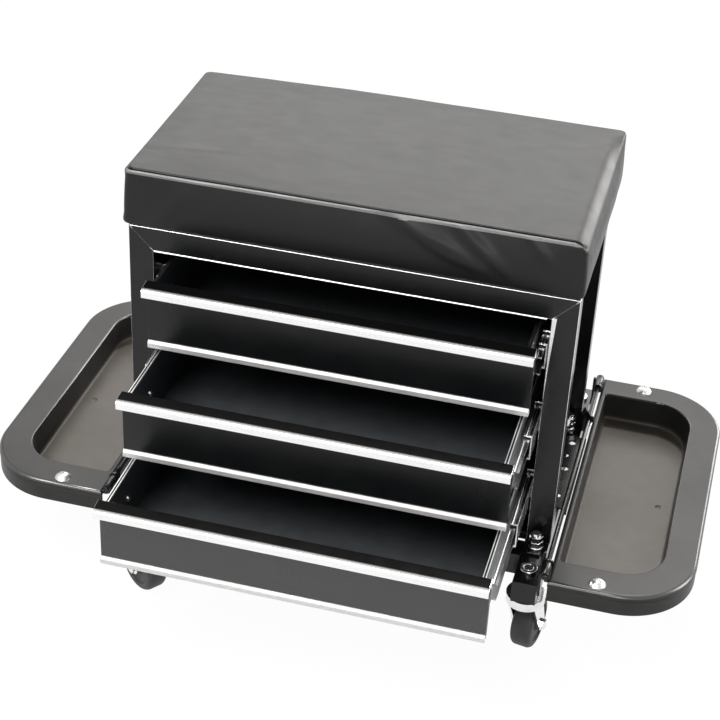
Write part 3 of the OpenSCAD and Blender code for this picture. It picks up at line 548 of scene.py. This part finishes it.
def loft(bm, rings):
    """Quads between closed rings of as many points each."""
    layers = [[bm.verts.new(point) for point in ring] for ring in rings]
    for low, high in zip(layers, layers[1:]):
        count = len(low)
        for i in range(count):
            j = (i + 1) % count
            bm.faces.new((low[i], low[j], high[j], high[i]))
    return layers


def arc(centre, radius, start, end, steps):
    """Points of a circle's part, angles in degrees."""
    angles = [math.radians(start + (end - start) * i / steps) for i in range(steps + 1)]
    return [(centre[0] + radius * math.cos(a), centre[1] + radius * math.sin(a)) for a in angles]


def quarter_turn(steps):
    """Angles from 0 to a right angle."""
    return [math.pi / 2 * i / steps for i in range(steps + 1)]


def inset(outline, amount):
    """A counter-clockwise outline drawn in by amount on all sides."""
    drawn = []
    for i, point in enumerate(outline):
        here = Vector(point)
        before = (here - Vector(outline[i - 1])).normalized()
        after = (Vector(outline[(i + 1) % len(outline)]) - here).normalized()
        side = Vector((-before.y, before.x)) + Vector((-after.y, after.x))
        share = side.length_squared / 2
        drawn.append(here + side * (amount / max(share, 0.2)))
    return drawn


def at_height(outline, z):
    return [(x, y, z) for x, y in outline]


def box_mesh(low, high):
    bm = bmesh.new()
    bmesh.ops.create_cube(bm, size=1)
    for vertex in bm.verts:
        vertex.co = Vector(low[axis] if vertex.co[axis] < 0 else high[axis] for axis in range(3))
    return bm


def cut(piece, bm):
    """Takes the closed shape bm out of the piece."""
    cutter = add_piece("cutter", bm, piece.data.materials[0])
    taken = piece.modifiers.new("cut", "BOOLEAN")
    taken.object = cutter
    taken.solver = "MANIFOLD"
    apply_modifiers(piece)
    bpy.data.objects.remove(cutter)


# Cushion: its starting shape, a closed lattice of quads

SEAT_LOW, SEAT_HIGH = (Vector(corner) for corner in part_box("seat_cushion"))
SEAT_MIDDLE = (SEAT_LOW + SEAT_HIGH) / 2
SEAT_HALF_X = (SEAT_HIGH.x - SEAT_LOW.x) / 2
SEAT_HALF_Y = (SEAT_HIGH.y - SEAT_LOW.y) / 2
# The top's crown, the share of it that is there before the cloth, and how fast it rises inwards
SEAT_CROWN = 2.5 * MM
CROWN_START = 0.55
CROWN_REACH = 28 * MM
SEAT_EDGE_Z = SEAT_HIGH.z - SEAT_CROWN
SEAT_CORNER = 6 * MM
# Lattice lines: millimetres in from each end, then even steps
END_LINES = (0, 0.9, 1.8, 2.7, 3.7, 5.2, 7.5, 11, 16, 21.5)
LATTICE_STEP = 6.2 * MM
# How far the sides are drawn in, in shares of SEAT_DRAW, at shares of their height
SEAT_DRAW = 3.2 * MM
SIDE_HEIGHTS = (
    0, 0.025, 0.06, 0.12, 0.22, 0.33, 0.45, 0.57, 0.69, 0.79, 0.87, 0.92, 0.95, 0.975, 0.99, 1,
)
SIDE_INSETS = (
    1.3, 0.62, 0.3, 0.17, 0.16, 0.2, 0.26, 0.34, 0.44, 0.54, 0.6, 0.57, 0.54, 0.6, 0.78, 1.1,
)


def seat_lines(half):
    """Places of the lattice lines from -half to half, closer near the ends."""
    near = [half - line * MM for line in END_LINES]
    middle = near[-1]
    count = round(2 * middle / LATTICE_STEP)
    inner = [-middle + 2 * middle * i / count for i in range(1, count)]
    return [-value for value in near] + inner + near[::-1]


def seat_profile(share):
    """How far the side is drawn in at a share of its height."""
    for i in range(1, len(SIDE_HEIGHTS)):
        if share <= SIDE_HEIGHTS[i]:
            t = (share - SIDE_HEIGHTS[i - 1]) / (SIDE_HEIGHTS[i] - SIDE_HEIGHTS[i - 1])
            return SEAT_DRAW * (SIDE_INSETS[i - 1] * (1 - t) + SIDE_INSETS[i] * t)
    return SEAT_DRAW


def seat_point(x, y, z):
    """Bends a point of the plain box into the cushion's starting shape."""
    over_x = abs(x) - (SEAT_HALF_X - SEAT_CORNER)
    over_y = abs(y) - (SEAT_HALF_Y - SEAT_CORNER)
    if over_x > 0 and over_y > 0:
        shrink = max(over_x, over_y) / math.hypot(over_x, over_y)
        x = math.copysign(SEAT_HALF_X - SEAT_CORNER + over_x * shrink, x)
        y = math.copysign(SEAT_HALF_Y - SEAT_CORNER + over_y * shrink, y)
    height = SEAT_EDGE_Z - SEAT_LOW.z
    draw = seat_profile(z / height)
    x *= 1 - draw / SEAT_HALF_X
    y *= 1 - draw / SEAT_HALF_Y
    if z >= height:
        edge = min(SEAT_HALF_X - abs(x), SEAT_HALF_Y - abs(y))
        z += SEAT_CROWN * CROWN_START * (1 - math.exp(-edge / CROWN_REACH))
    return Vector((x, y, z)) + Vector((SEAT_MIDDLE.x, SEAT_MIDDLE.y, SEAT_LOW.z))


def seat_lattice():
    """The starting shape, with the numbers of the points that stay pinned."""
    xs, ys = seat_lines(SEAT_HALF_X), seat_lines(SEAT_HALF_Y)
    zs = [share * (SEAT_EDGE_Z - SEAT_LOW.z) for share in SIDE_HEIGHTS]
    last_x, last_y, last_z = len(xs) - 1, len(ys) - 1, len(zs) - 1
    bm = bmesh.new()
    made, pinned = {}, set()

    def vertex(i, j, k):
        if (i, j, k) not in made:
            made[i, j, k] = bm.verts.new(seat_point(xs[i], ys[j], zs[k]))
            at_x_end, at_y_end = i in (0, last_x), j in (0, last_y)
            on_rim = k == last_z and (at_x_end or at_y_end)
            if k == 0 or on_rim or (at_x_end and at_y_end):
                pinned.add((i, j, k))
        return made[i, j, k]

    def quad(*corners):
        bm.faces.new([vertex(*corner) for corner in corners])

    for i in range(last_x):
        for j in range(last_y):
            for k in (0, last_z):
                quad((i, j, k), (i + 1, j, k), (i + 1, j + 1, k), (i, j + 1, k))
    for k in range(last_z):
        for i in range(last_x):
            for j in (0, last_y):
                quad((i, j, k), (i + 1, j, k), (i + 1, j, k + 1), (i, j, k + 1))
        for j in range(last_y):
            for i in (0, last_x):
                quad((i, j, k), (i, j + 1, k), (i, j + 1, k + 1), (i, j, k + 1))
    bm.verts.index_update()
    pins = [made[key].index for key in pinned]
    bmesh.ops.recalc_face_normals(bm, faces=bm.faces)
    return bm, pins


# Cushion: blown up as cloth

CLOTH_FRAMES = 20
PUFF_LIMIT = 4 * MM
CLOTH_SETTINGS = {
    "quality": 7,
    "mass": 0.25,
    "tension_stiffness": 30,
    "compression_stiffness": 30,
    "shear_stiffness": 12,
    "bending_stiffness": 2.5,
    "use_pressure": True,
    "uniform_pressure_force": 4.0,
    "vertex_group_mass": "pins",
}


def puffed_points(piece, pins):
    """Where the piece's points lie once it is blown up, but for the points in pins, which stay."""
    group = piece.vertex_groups.new(name="pins")
    group.add(pins, 1.0, "REPLACE")
    cloth = piece.modifiers.new("cloth", "CLOTH")
    for setting, value in CLOTH_SETTINGS.items():
        setattr(cloth.settings, setting, value)
    cloth.settings.effector_weights.gravity = 0
    cloth.collision_settings.use_self_collision = False
    cloth.point_cache.frame_start = 1
    cloth.point_cache.frame_end = CLOTH_FRAMES
    scene = bpy.context.scene
    for number in range(1, CLOTH_FRAMES + 1):
        scene.frame_set(number)
    graph = bpy.context.evaluated_depsgraph_get()
    puffed = [vertex.co.copy() for vertex in piece.evaluated_get(graph).data.vertices]
    piece.modifiers.remove(cloth)
    piece.vertex_groups.remove(group)
    scene.frame_set(1)
    return puffed


def inflate(piece, pins):
    """Blows the piece up and keeps each point within PUFF_LIMIT of where it was."""
    puffed = puffed_points(piece, pins)
    for vertex, after in zip(piece.data.vertices, puffed):
        moved = after - vertex.co
        if moved.length > PUFF_LIMIT:
            moved *= PUFF_LIMIT / moved.length
        vertex.co += moved


# Cushion: folds, seams and the way it sits in the photo

TOP_HALF_X = SEAT_HALF_X - SEAT_DRAW
TOP_HALF_Y = SEAT_HALF_Y - SEAT_DRAW
SEAM_IN = 2.6 * MM
SEAM_WIDE = 1.35 * MM
SEAM_DEEP = 2.4 * MM
SEAM_OPEN = 4 * MM
CORNER_SEAM_IN = 0.29 * SEAT_CORNER
CORNER_SEAM_WIDE = 1.6 * MM
CORNER_SEAM_DEEP = 0.9 * MM
# How wide the groove faces given the painted shade are
SEAM_PAINTED = 1.05 * SEAM_WIDE
WELT_H = 3.2 * MM
WELT_REACH = 5 * MM
# Slack and ripples in the cover: how high, and how many cells of noise a metre along the axes
SLACK = 0.35 * MM
SLACK_CELLS = 16
RIPPLE = 0.12 * MM
RIPPLE_CELLS = (40, 110)
SIDE_SLACK = 0.3 * MM
SIDE_CELLS = (30, 30, 12)
# How far the foam's right edge rolls over: width, drop, depth, and the share of the way
# from back to front over which the roll grows
ROLL_WIDE = 14 * MM
ROLL_DROP = 8 * MM
ROLL_DEPTH = 22 * MM
ROLL_GROWS = 0.25
# The bulge to the left (with what its foot adds), backwards and upwards, the height over
# which it grows, and the shares of the cushion's width and length that it takes
BULGE_LEFT = 2.6 * MM
BULGE_LEFT_FOOT = 2.6 * MM
BULGE_BACK = 5 * MM
BULGE_UP = 2.6 * MM
BULGE_GROWS = 12 * MM
BULGE_LEFT_SHARE = 0.2
BULGE_BACK_SHARE = 0.4
BULGE_RIGHT_SHARE = 0.35
BULGE_LEAST_BACK = 0.2
# Limits of a normal's y for the front, and of its z for the top, the sides and the corner seams
FRONT_FACING = -0.7
TOP_FACING = 0.7
SIDE_FACING = 0.5
CORNER_FACING = 0.6
# Where on a half wave from 0 to 1 a fold's height begins, and as far before 1 it ends
FOLD_ENDS = 0.12


def front_point(x, z):
    return Vector((x * MM, SEAT_LOW.y, z * MM))


def top_point(x, y):
    return Vector((x * MM, y * MM, SEAT_HIGH.z))


# Folds: start, end, width and height
FRONT_FOLDS = (
    (front_point(36, 461), front_point(128, 419), 7.5 * MM, 4.4 * MM),
    (front_point(102, 461), front_point(152, 420), 6 * MM, 3.2 * MM),
    (front_point(168, 462), front_point(196, 434), 5 * MM, 1.6 * MM),
    (front_point(-196, 412), front_point(-160, 448), 6 * MM, 1.5 * MM),
)
TOP_FOLDS = (
    (top_point(-225, -3), top_point(-120, 8), 3 * MM, 0.5 * MM),
    (top_point(218, 150), top_point(160, 128), 6 * MM, -0.5 * MM),
    (top_point(200, -20), top_point(150, -48), 7 * MM, -0.5 * MM),
    (top_point(-70, 120), top_point(20, 112), 6 * MM, -0.3 * MM),
)


def hump(away, width):
    """1 at no distance, falling softly to 0 within about twice the width."""
    return math.exp(-(away / width) ** 2)


def fold(point, start, end, width, height):
    """Height of a soft ridge along the line from start to end, both on one plane."""
    along = end - start
    share = clamp((point - start).dot(along) / along.length_squared)
    away = (point - start - along * share).length
    fade = math.sin(math.pi * (FOLD_ENDS + (1 - 2 * FOLD_ENDS) * share))
    return height * fade * hump(away, width)


def from_edge(point):
    """Distance from the cushion's outline inwards, as seen from above."""
    x, y = abs(point.x - SEAT_MIDDLE.x), abs(point.y - SEAT_MIDDLE.y)
    over_x, over_y = x - (TOP_HALF_X - SEAT_CORNER), y - (TOP_HALF_Y - SEAT_CORNER)
    if over_x > 0 and over_y > 0:
        return SEAT_CORNER - math.hypot(over_x, over_y)
    return min(TOP_HALF_X - x, TOP_HALF_Y - y)


def behind_front(point):
    return point.y - (SEAT_MIDDLE.y - TOP_HALF_Y)


def top_shift(point):
    """How far the top is raised: folds, slack, ripples and the seam that lies open in front."""
    shift = sum(fold(Vector((point.x, point.y, SEAT_HIGH.z)), *row) for row in TOP_FOLDS)
    shift += SLACK * noise.noise(point * SLACK_CELLS)
    shift += RIPPLE * noise.noise(Vector((point.x * RIPPLE_CELLS[0], point.y * RIPPLE_CELLS[1], 3)))
    seam_open = clamp(2 - behind_front(point) / SEAM_OPEN)
    return shift - SEAM_DEEP * seam_open * hump(from_edge(point) - SEAM_IN, SEAM_WIDE)


def front_shift(point):
    return sum(fold(Vector((point.x, SEAT_LOW.y, point.z)), *row) for row in FRONT_FOLDS)


def side_shift(point):
    stretched = Vector(point[axis] * SIDE_CELLS[axis] for axis in range(3))
    return SIDE_SLACK * noise.noise(stretched)


def corner_seam(point):
    """How deep a point lies in one of the seams down the four corners."""
    away = math.hypot(
        abs(point.x - SEAT_MIDDLE.x) - (TOP_HALF_X - CORNER_SEAM_IN),
        abs(point.y - SEAT_MIDDLE.y) - (TOP_HALF_Y - CORNER_SEAM_IN),
    )
    return CORNER_SEAM_DEEP * hump(away, CORNER_SEAM_WIDE)


def roll_over(point):
    """How far a point near the right edge drops, where the foam rounds over, least at the back."""
    inward = TOP_HALF_X - (point.x - SEAT_MIDDLE.x)
    forward = clamp((SEAT_HIGH.y - point.y) / (SEAT_HIGH.y - SEAT_LOW.y) / ROLL_GROWS)
    high_up = clamp((point.z - SEAT_EDGE_Z + ROLL_DEPTH) / ROLL_DEPTH)
    return ROLL_DROP * forward * max(0.0, 1 - inward / ROLL_WIDE) ** 2 * high_up


def bulge(point):
    """Fills the cushion out to the left and towards the back right, as it sits in the photo."""
    size = SEAT_HIGH - SEAT_LOW
    left = max(0.0, 1 - (point.x - SEAT_LOW.x) / (BULGE_LEFT_SHARE * size.x))
    back = max(0.0, 1 - (SEAT_HIGH.y - point.y) / (BULGE_BACK_SHARE * size.y))
    rightward = clamp((point.x - SEAT_LOW.x) / (BULGE_RIGHT_SHARE * size.x))
    height = clamp((point.z - SEAT_LOW.z) / BULGE_GROWS)
    backward = BULGE_LEAST_BACK + (1 - BULGE_LEAST_BACK) * rightward
    return Vector((
        -(BULGE_LEFT + BULGE_LEFT_FOOT * (1 - height)) * left,
        BULGE_BACK * height * back * backward,
        BULGE_UP * height * back * rightward,
    ))


def crease(piece):
    """Moves each point along its normal by the folds and seams there, then bulges and rolls."""
    normals = [vertex.normal.copy() for vertex in piece.data.vertices]
    for vertex, facing in zip(piece.data.vertices, normals):
        point = vertex.co.copy()
        shift = 0.0
        if facing.y < FRONT_FACING:
            shift += front_shift(point)
        if facing.z > TOP_FACING:
            shift += top_shift(point)
        elif abs(facing.z) < SIDE_FACING:
            shift += side_shift(point)
        if abs(facing.z) < CORNER_FACING:
            shift -= corner_seam(point)
        vertex.co = point + facing * shift + bulge(point)
        vertex.co.z -= roll_over(vertex.co)


def keep_in_box(piece, low, high):
    for vertex in piece.data.vertices:
        for axis in range(3):
            vertex.co[axis] = max(low[axis], min(high[axis], vertex.co[axis]))


def colour_front_edge(piece):
    """The roll over the front's cord gets a glossier vinyl whose lighter base is a painted highlight,
    and the seam behind it gets a near-black painted shade; both only along the front edge.
    """
    welt_highlight, seam = len(piece.data.materials), len(piece.data.materials) + 1
    for name in ("welt_highlight", "seam"):
        piece.data.materials.append(MATERIALS[name])
    for face in piece.data.polygons:
        middle = face.center
        if behind_front(middle) > WELT_REACH or middle.z < SEAT_EDGE_Z - WELT_H:
            continue
        # The seam's groove gets painted shade, the front roll the welt's painted highlight.
        if abs(from_edge(middle) - SEAM_IN) < SEAM_PAINTED:
            face.material_index = seam
        elif behind_front(middle) < SEAM_IN:
            face.material_index = welt_highlight


# Cushion: the whole piece

BOARD_LOW, BOARD_HIGH = (Vector(corner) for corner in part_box("seat_board"))
BOARD_CLEAR = 0.3 * MM
CUT_PAST = 5 * MM
SEAT_REACH = 5 * MM


def cut_board_recess(piece):
    """The space that the seat board fills, cut out of the cushion's underside."""
    low = BOARD_LOW - Vector((BOARD_CLEAR, BOARD_CLEAR, CUT_PAST))
    high = BOARD_HIGH + Vector((BOARD_CLEAR, BOARD_CLEAR, BOARD_CLEAR))
    cut(piece, box_mesh(low, high))


def add_cushion():
    bm, pins = seat_lattice()
    cushion = show("cushion", mesh_from("cushion", bm, MATERIALS["vinyl"]))
    inflate(cushion, pins)
    cushion.modifiers.new("finer", "SUBSURF").levels = 1
    apply_modifiers(cushion)
    crease(cushion)
    low = SEAT_LOW - Vector((SEAT_REACH, SEAT_REACH, 0))
    high = SEAT_HIGH + Vector((SEAT_REACH, SEAT_REACH, SEAT_REACH))
    keep_in_box(cushion, low, high)
    cut_board_recess(cushion)
    colour_front_edge(cushion)
    shade(cushion, smooth_angle=50)
    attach(cushion, "cabinet")
    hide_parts("seat_cushion")


# Trays: a D-shaped sheet, made for the right side and mirrored for the left

TRAY_R = 75 * MM
TRAY_SHEET = 1.5 * MM
TRAY_ROLL_R = 4 * MM
PAN_R = 42 * MM
PAN_INNER_R = 5 * MM
PAN_DEPTH = TRAY_HIGH.z - TRAY_LOW.z - TRAY_SHEET
PAN_LIP_R = 2.2 * MM
PAN_FOOT_R = 3 * MM
PAN_FOOT_IN = 1.2 * MM
RIM = {"front": 37 * MM, "outer": 34 * MM, "rear": 32 * MM, "inner": 6.5 * MM}
# The skirt below the rolled edge: millimetres in from the outline, millimetres below the rim
SKIRT = (
    (0, 5.4), (0.25, 6.1), (0.95, 6.35), (1.1, 6.8), (0.6, 7.2), (0.45, 7.9), (0.5, 9),
    (0.5, 22.8), (0.7, 24),
)
DIMPLE_AT = (89 * MM, 200 * MM)
DIMPLE_R = 3.2 * MM
DIMPLE_DEEP = 1.3 * MM
SHINE_IN = 6 * MM
SHINE_DROP = 4.5 * MM
SHINE_FACING = (0.3, 0.93)
ARM_FROM_END = (4 * MM, 26 * MM)
ARM_SLOT = 6 * MM
EYE_RELIEF = 0.9 * MM


def tray_outline():
    """The D outline, counter-clockwise from its front inner corner."""
    low, high = TRAY_LOW, TRAY_HIGH
    points = [(low.x, low.y)]
    points += arc((high.x - TRAY_R, low.y + TRAY_R), TRAY_R, -90, 0, steps=30)
    points += arc((high.x - TRAY_R, high.y - TRAY_R), TRAY_R, 0, 90, steps=30)
    points.append((low.x, high.y))
    return points


def pan_outline():
    low_x, high_x = TRAY_LOW.x + RIM["inner"], TRAY_HIGH.x - RIM["outer"]
    low_y, high_y = TRAY_LOW.y + RIM["front"], TRAY_HIGH.y - RIM["rear"]
    wide, tight = PAN_R, PAN_INNER_R
    points = arc((high_x - wide, low_y + wide), wide, -90, 0, steps=24)
    points += arc((high_x - wide, high_y - wide), wide, 0, 90, steps=24)
    points += arc((low_x + tight, high_y - tight), tight, 90, 180, steps=8)
    points += arc((low_x + tight, low_y + tight), tight, 180, 270, steps=8)
    return points


def skirt_profile():
    """(inset, drop below the rim) from the rim's flat, over the rolled edge, to the skirt's foot."""
    radius = TRAY_ROLL_R
    rolled = [(radius - radius * math.sin(a), radius * (1 - math.cos(a))) for a in quarter_turn(6)]
    return rolled + [(inward * MM, drop * MM) for inward, drop in SKIRT]


def pan_profile():
    """(inset from the pan's outline, drop below the rim) from the rim's flat to the pan floor."""
    radius = PAN_LIP_R
    lip = [(-radius + radius * math.sin(a), radius * (1 - math.cos(a))) for a in quarter_turn(5)]
    radius = PAN_FOOT_R
    foot = [
        (PAN_FOOT_IN + radius * (1 - math.cos(a)), PAN_DEPTH - radius + radius * math.sin(a))
        for a in quarter_turn(5)
    ]
    return lip + foot


def stepped(outline, profile):
    """The outline drawn in and lowered from the rim, once for each step of the profile."""
    return [at_height(inset(outline, inward), TRAY_HIGH.z - drop) for inward, drop in profile]


def close_flat(bm, *loops):
    """Fills the flat area inside the first loop and outside the others."""
    edges = []
    for loop in loops:
        for i, vertex in enumerate(loop):
            edge = bm.edges.get((vertex, loop[i - 1]))
            edges.append(edge or bm.edges.new((vertex, loop[i - 1])))
    bmesh.ops.triangle_fill(bm, edges=edges, use_beauty=True)


def tray_sheet(sign):
    """The tray's upper face, turned upwards; sign is 1 for the right tray and -1 for the left."""
    bm = bmesh.new()
    skirt = loft(bm, stepped(tray_outline(), skirt_profile()))
    pan = loft(bm, stepped(pan_outline(), pan_profile()))
    close_flat(bm, skirt[0], pan[0])
    close_flat(bm, pan[-1])
    if sign < 0:
        bmesh.ops.scale(bm, vec=(-1, 1, 1), verts=bm.verts)
    bmesh.ops.recalc_face_normals(bm, faces=bm.faces)
    if sum(face.normal.z * face.calc_area() for face in bm.faces) < 0:
        bmesh.ops.reverse_faces(bm, faces=bm.faces)
    return bm


def press_dimple(tray, sign):
    """A shallow round dimple in the pan floor."""
    ball = (DIMPLE_R ** 2 + DIMPLE_DEEP ** 2) / (2 * DIMPLE_DEEP)
    bm = bmesh.new()
    bmesh.ops.create_uvsphere(bm, u_segments=48, v_segments=32, radius=ball)
    x, y = sign * (TRAY_LOW.x + DIMPLE_AT[0]), TRAY_LOW.y + DIMPLE_AT[1]
    place = Vector((x, y, TRAY_HIGH.z - PAN_DEPTH - DIMPLE_DEEP + ball))
    bmesh.ops.translate(bm, vec=place, verts=bm.verts)
    cut(tray, bm)


def cut_arm_slots(tray, sign):
    """Where the hinge arms pass: slots in the inner skirt, and relief for their rolled eyes."""
    near, far = ARM_FROM_END
    inner = TRAY_LOW.x
    under = TRAY_HIGH.z - TRAY_SHEET
    slot = (ARM_SLOT, TRAY_LOW.z, under)
    relief = (EYE_RELIEF, under - MM, TRAY_HIGH.z + MM)
    for start, end in ((TRAY_LOW.y + near, TRAY_LOW.y + far), (TRAY_HIGH.y - far, TRAY_HIGH.y - near)):
        for reach, low_z, high_z in (slot, relief):
            sides = sorted((sign * (inner - MM), sign * (inner + reach)))
            cut(tray, box_mesh((sides[0], start, low_z), (sides[1], end, high_z)))


def colour_rolled_edge(tray):
    """The rim's rolled edge is rubbed shinier than the flats."""
    tray.data.materials.append(MATERIALS["tray_edge"])
    steepest, flattest = SHINE_FACING
    for face in tray.data.polygons:
        x, y = abs(face.center.x), face.center.y
        at_ends = y < TRAY_LOW.y + SHINE_IN or y > TRAY_HIGH.y - SHINE_IN
        outside = at_ends or x > TRAY_HIGH.x - TRAY_R
        sloping = steepest < face.normal.z < flattest
        if outside and sloping and face.center.z > TRAY_HIGH.z - SHINE_DROP:
            face.material_index = 1


def add_tray(side, sign):
    name = f"{side}_tray_shell"
    tray = show(name, mesh_from(name, tray_sheet(sign), MATERIALS["tray_paint"]))
    thicken(tray, TRAY_SHEET)
    press_dimple(tray, sign)
    cut_arm_slots(tray, sign)
    colour_rolled_edge(tray)
    shade(tray, smooth_angle=34)
    mend_normals(tray)
    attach(tray, f"{side}_tray")
    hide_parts(f"tray_{side}")


# The opening's inner edges, bright with painted highlights

OPENING_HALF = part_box("frame_sill")[1][0]
LIP_R = 0.75 * MM
LIP_SHORTER = 6 * MM
LIP_AT = (-2 * MM, FRAME_LOW[1] + 0.2 * MM, FRAME_LOW[2] - 0.7 * LIP_R)
STRIP_T = 0.6 * MM
STRIP_FRONT = FRAME_LOW[1] - 0.25 * MM
STRIP_TOP = FRAME_LOW[2] + 0.5 * MM
STRIP_INNER = OPENING_HALF + 0.1 * MM
# The strip's outline in millimetres outwards and upwards from its upper inner corner
STRIP = ((0, 0), (4.6, 1.5), (1.9, -46), (0, -92))


def add_head_highlight_lip():
    """The rolled lower edge of the frame's head, in bright metal as a painted highlight."""
    bm = bmesh.new()
    length = 2 * OPENING_HALF - LIP_SHORTER
    bmesh.ops.create_cone(bm, cap_ends=True, segments=16, radius1=LIP_R, radius2=LIP_R, depth=length)
    bmesh.ops.rotate(bm, verts=bm.verts, matrix=Matrix.Rotation(math.pi / 2, 3, "Y"))
    bmesh.ops.translate(bm, verts=bm.verts, vec=LIP_AT)
    lip = add_piece("head_highlight_lip", bm, MATERIALS["painted_highlight_edge"], smooth_angle=50)
    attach(lip, "cabinet")


def add_stile_highlight_strip():
    """A bright strip at the right stile's inner edge, a painted highlight, full at the top and running
    out downwards.
    """
    outline = [(STRIP_INNER + x * MM, STRIP_TOP + z * MM) for x, z in STRIP]
    bm = bmesh.new()
    near = [bm.verts.new((x, STRIP_FRONT, z)) for x, z in outline]
    far = [bm.verts.new((x, STRIP_FRONT + STRIP_T, z)) for x, z in outline]
    bm.faces.new(near)
    bm.faces.new(far)
    for i in range(len(outline)):
        bm.faces.new((near[i - 1], near[i], far[i], far[i - 1]))
    strip = add_piece("stile_highlight_strip", bm, MATERIALS["painted_highlight_edge"])
    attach(strip, "cabinet")


# Pulls: the sloped top is covered by a black sheet, painted shade behind the bright band

PULL_BAND = 1.9 * MM
SHADE_SHEET_T = 0.5 * MM
SHADE_SHEET_SHORTER = 0.4 * MM
# The shade sheet's section in millimetres backwards and upwards: its front points from the band's
# rear, at the height of the pull's top, and its rear points from the pull's upper rear edge
SHADE_SHEET_NEAR = ((-0.8, -2.38), (0, -2.35), (0.4, -1.95))
SHADE_SHEET_FAR = ((-0.5, 0.15), (-0.1, -0.25))


# A black sheet over the pull's sloped top: painted shade.
def add_pull_shade_sheet(n):
    low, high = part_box(f"drawer_{n}_pull")
    band = low[1] + PULL_BAND
    slope = [(band + y * MM, high[2] + z * MM) for y, z in SHADE_SHEET_NEAR]
    slope += [(high[1] + y * MM, high[2] + z * MM) for y, z in SHADE_SHEET_FAR]
    bm = bmesh.new()
    left, right = (
        [bm.verts.new((x, y, z)) for y, z in slope]
        for x in (low[0] + SHADE_SHEET_SHORTER, high[0] - SHADE_SHEET_SHORTER)
    )
    for i in range(len(slope) - 1):
        bm.faces.new((left[i], right[i], right[i + 1], left[i + 1]))
    shade_sheet = add_piece(f"drawer_{n}_pull_shade_sheet", bm, MATERIALS[f"insert_{n}"])
    thicken(shade_sheet, SHADE_SHEET_T)
    shade(shade_sheet, smooth_angle=30)
    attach(shade_sheet, f"drawer_{n}")


# Floor, light and background

FLOOR_GLOW = 0.97
FLOOR_HALF = 8
FLOOR_UNDER = 0.2 * MM
ROOM_LIGHT = 0.2
WARM = (1.0, 0.985, 0.955)
KEY_HEIGHT = math.radians(57)
KEY_SPREAD = math.radians(9)
KEY_STRENGTH = 2.2
SEAT_CENTRE = (0, 0, 0.25)
# Place, aim, size in metres and strength in watts
LAMPS = {
    "sheen from behind": ((-0.4, 2.4, 1.9), SEAT_CENTRE, (2.6, 1.3), 38),
    "right roll": ((1.35, 2.4, 0.95), SEAT_CENTRE, (0.9, 1.4), 34),
    "edge light": ((-0.8, -1.25, 2.15), SEAT_CENTRE, (1.7, 1.3), 78),
    "right side": ((2.2, 0.5, 0.9), SEAT_CENTRE, (1.0, 1.6), 36),
    "fold light": ((0.5, -2.35, 0.83), (0.1, -0.25, 0.43), (0.6, 0.5), 11),
}


def add_lamp(name, at, towards, size, watts):
    data = bpy.data.lights.new(name, "AREA")
    data.shape = "RECTANGLE"
    data.size, data.size_y = size
    data.energy = watts
    data.color = WARM
    lamp = show(name, data)
    lamp.location = at
    lamp.rotation_euler = (Vector(towards) - Vector(at)).to_track_quat("-Z", "Y").to_euler()
    lamp.visible_camera = False


def add_key():
    """The main light, high behind the seat: it leaves the drawers in the cabinet's shade."""
    data = bpy.data.lights.new("key", "SUN")
    data.energy = KEY_STRENGTH
    data.color = WARM
    data.angle = KEY_SPREAD
    lamp = show("key", data)
    from_behind = Vector((0, math.cos(KEY_HEIGHT), math.sin(KEY_HEIGHT)))
    lamp.rotation_euler = from_behind.to_track_quat("Z", "Y").to_euler()


def seen_directly(nodes):
    """1 for camera, glossy and transmission rays."""
    path = nodes.node("ShaderNodeLightPath").outputs
    mirrored = nodes.calculate("MAXIMUM", path["Is Camera Ray"], path["Is Glossy Ray"])
    return nodes.calculate("MAXIMUM", mirrored, path["Is Transmission Ray"])


def floor_white():
    """Glows where it is seen directly and is a plain white floor to the light that falls on it."""
    surface = Surface("floor", Base_Color=(0.9, 0.9, 0.9, 1), Roughness=0.9)
    share = surface.calculate("MULTIPLY", seen_directly(surface), FLOOR_GLOW)
    glow = surface.node("ShaderNodeEmission").outputs[0]
    mix = surface.node("ShaderNodeMixShader", {0: share, 1: surface.shader.outputs[0], 2: glow})
    surface.give(surface.tree.nodes["Material Output"].inputs["Surface"], mix.outputs[0])
    return surface.material


def add_floor():
    bm = bmesh.new()
    bmesh.ops.create_grid(bm, x_segments=8, y_segments=8, size=FLOOR_HALF)
    floor = show("floor", mesh_from("floor", bm, floor_white()))
    floor.location.z = -FLOOR_UNDER


def add_room():
    """White where it is seen directly, and a dim light all round."""
    scene = bpy.context.scene
    scene.view_settings.view_transform = "Standard"
    scene.world = scene.world or bpy.data.worlds.new("world")
    scene.world.use_nodes = True
    nodes = Nodes(scene.world.node_tree)
    background = nodes.tree.nodes["Background"]
    background.inputs["Color"].default_value = (1, 1, 1, 1)
    strength = nodes.between(seen_directly(nodes), ROOM_LIGHT, 1.0, 0, 1)
    nodes.give(background.inputs["Strength"], strength)


add_camera()
dress_cad_nodes()
add_cushion()
add_tray("right", 1)
add_tray("left", -1)
add_head_highlight_lip()
add_stile_highlight_strip()
for n in DRAWERS:
    add_pull_shade_sheet(n)
add_floor()
add_room()
add_key()
for name, (at, towards, size, watts) in LAMPS.items():
    add_lamp(name, at, towards, size, watts)
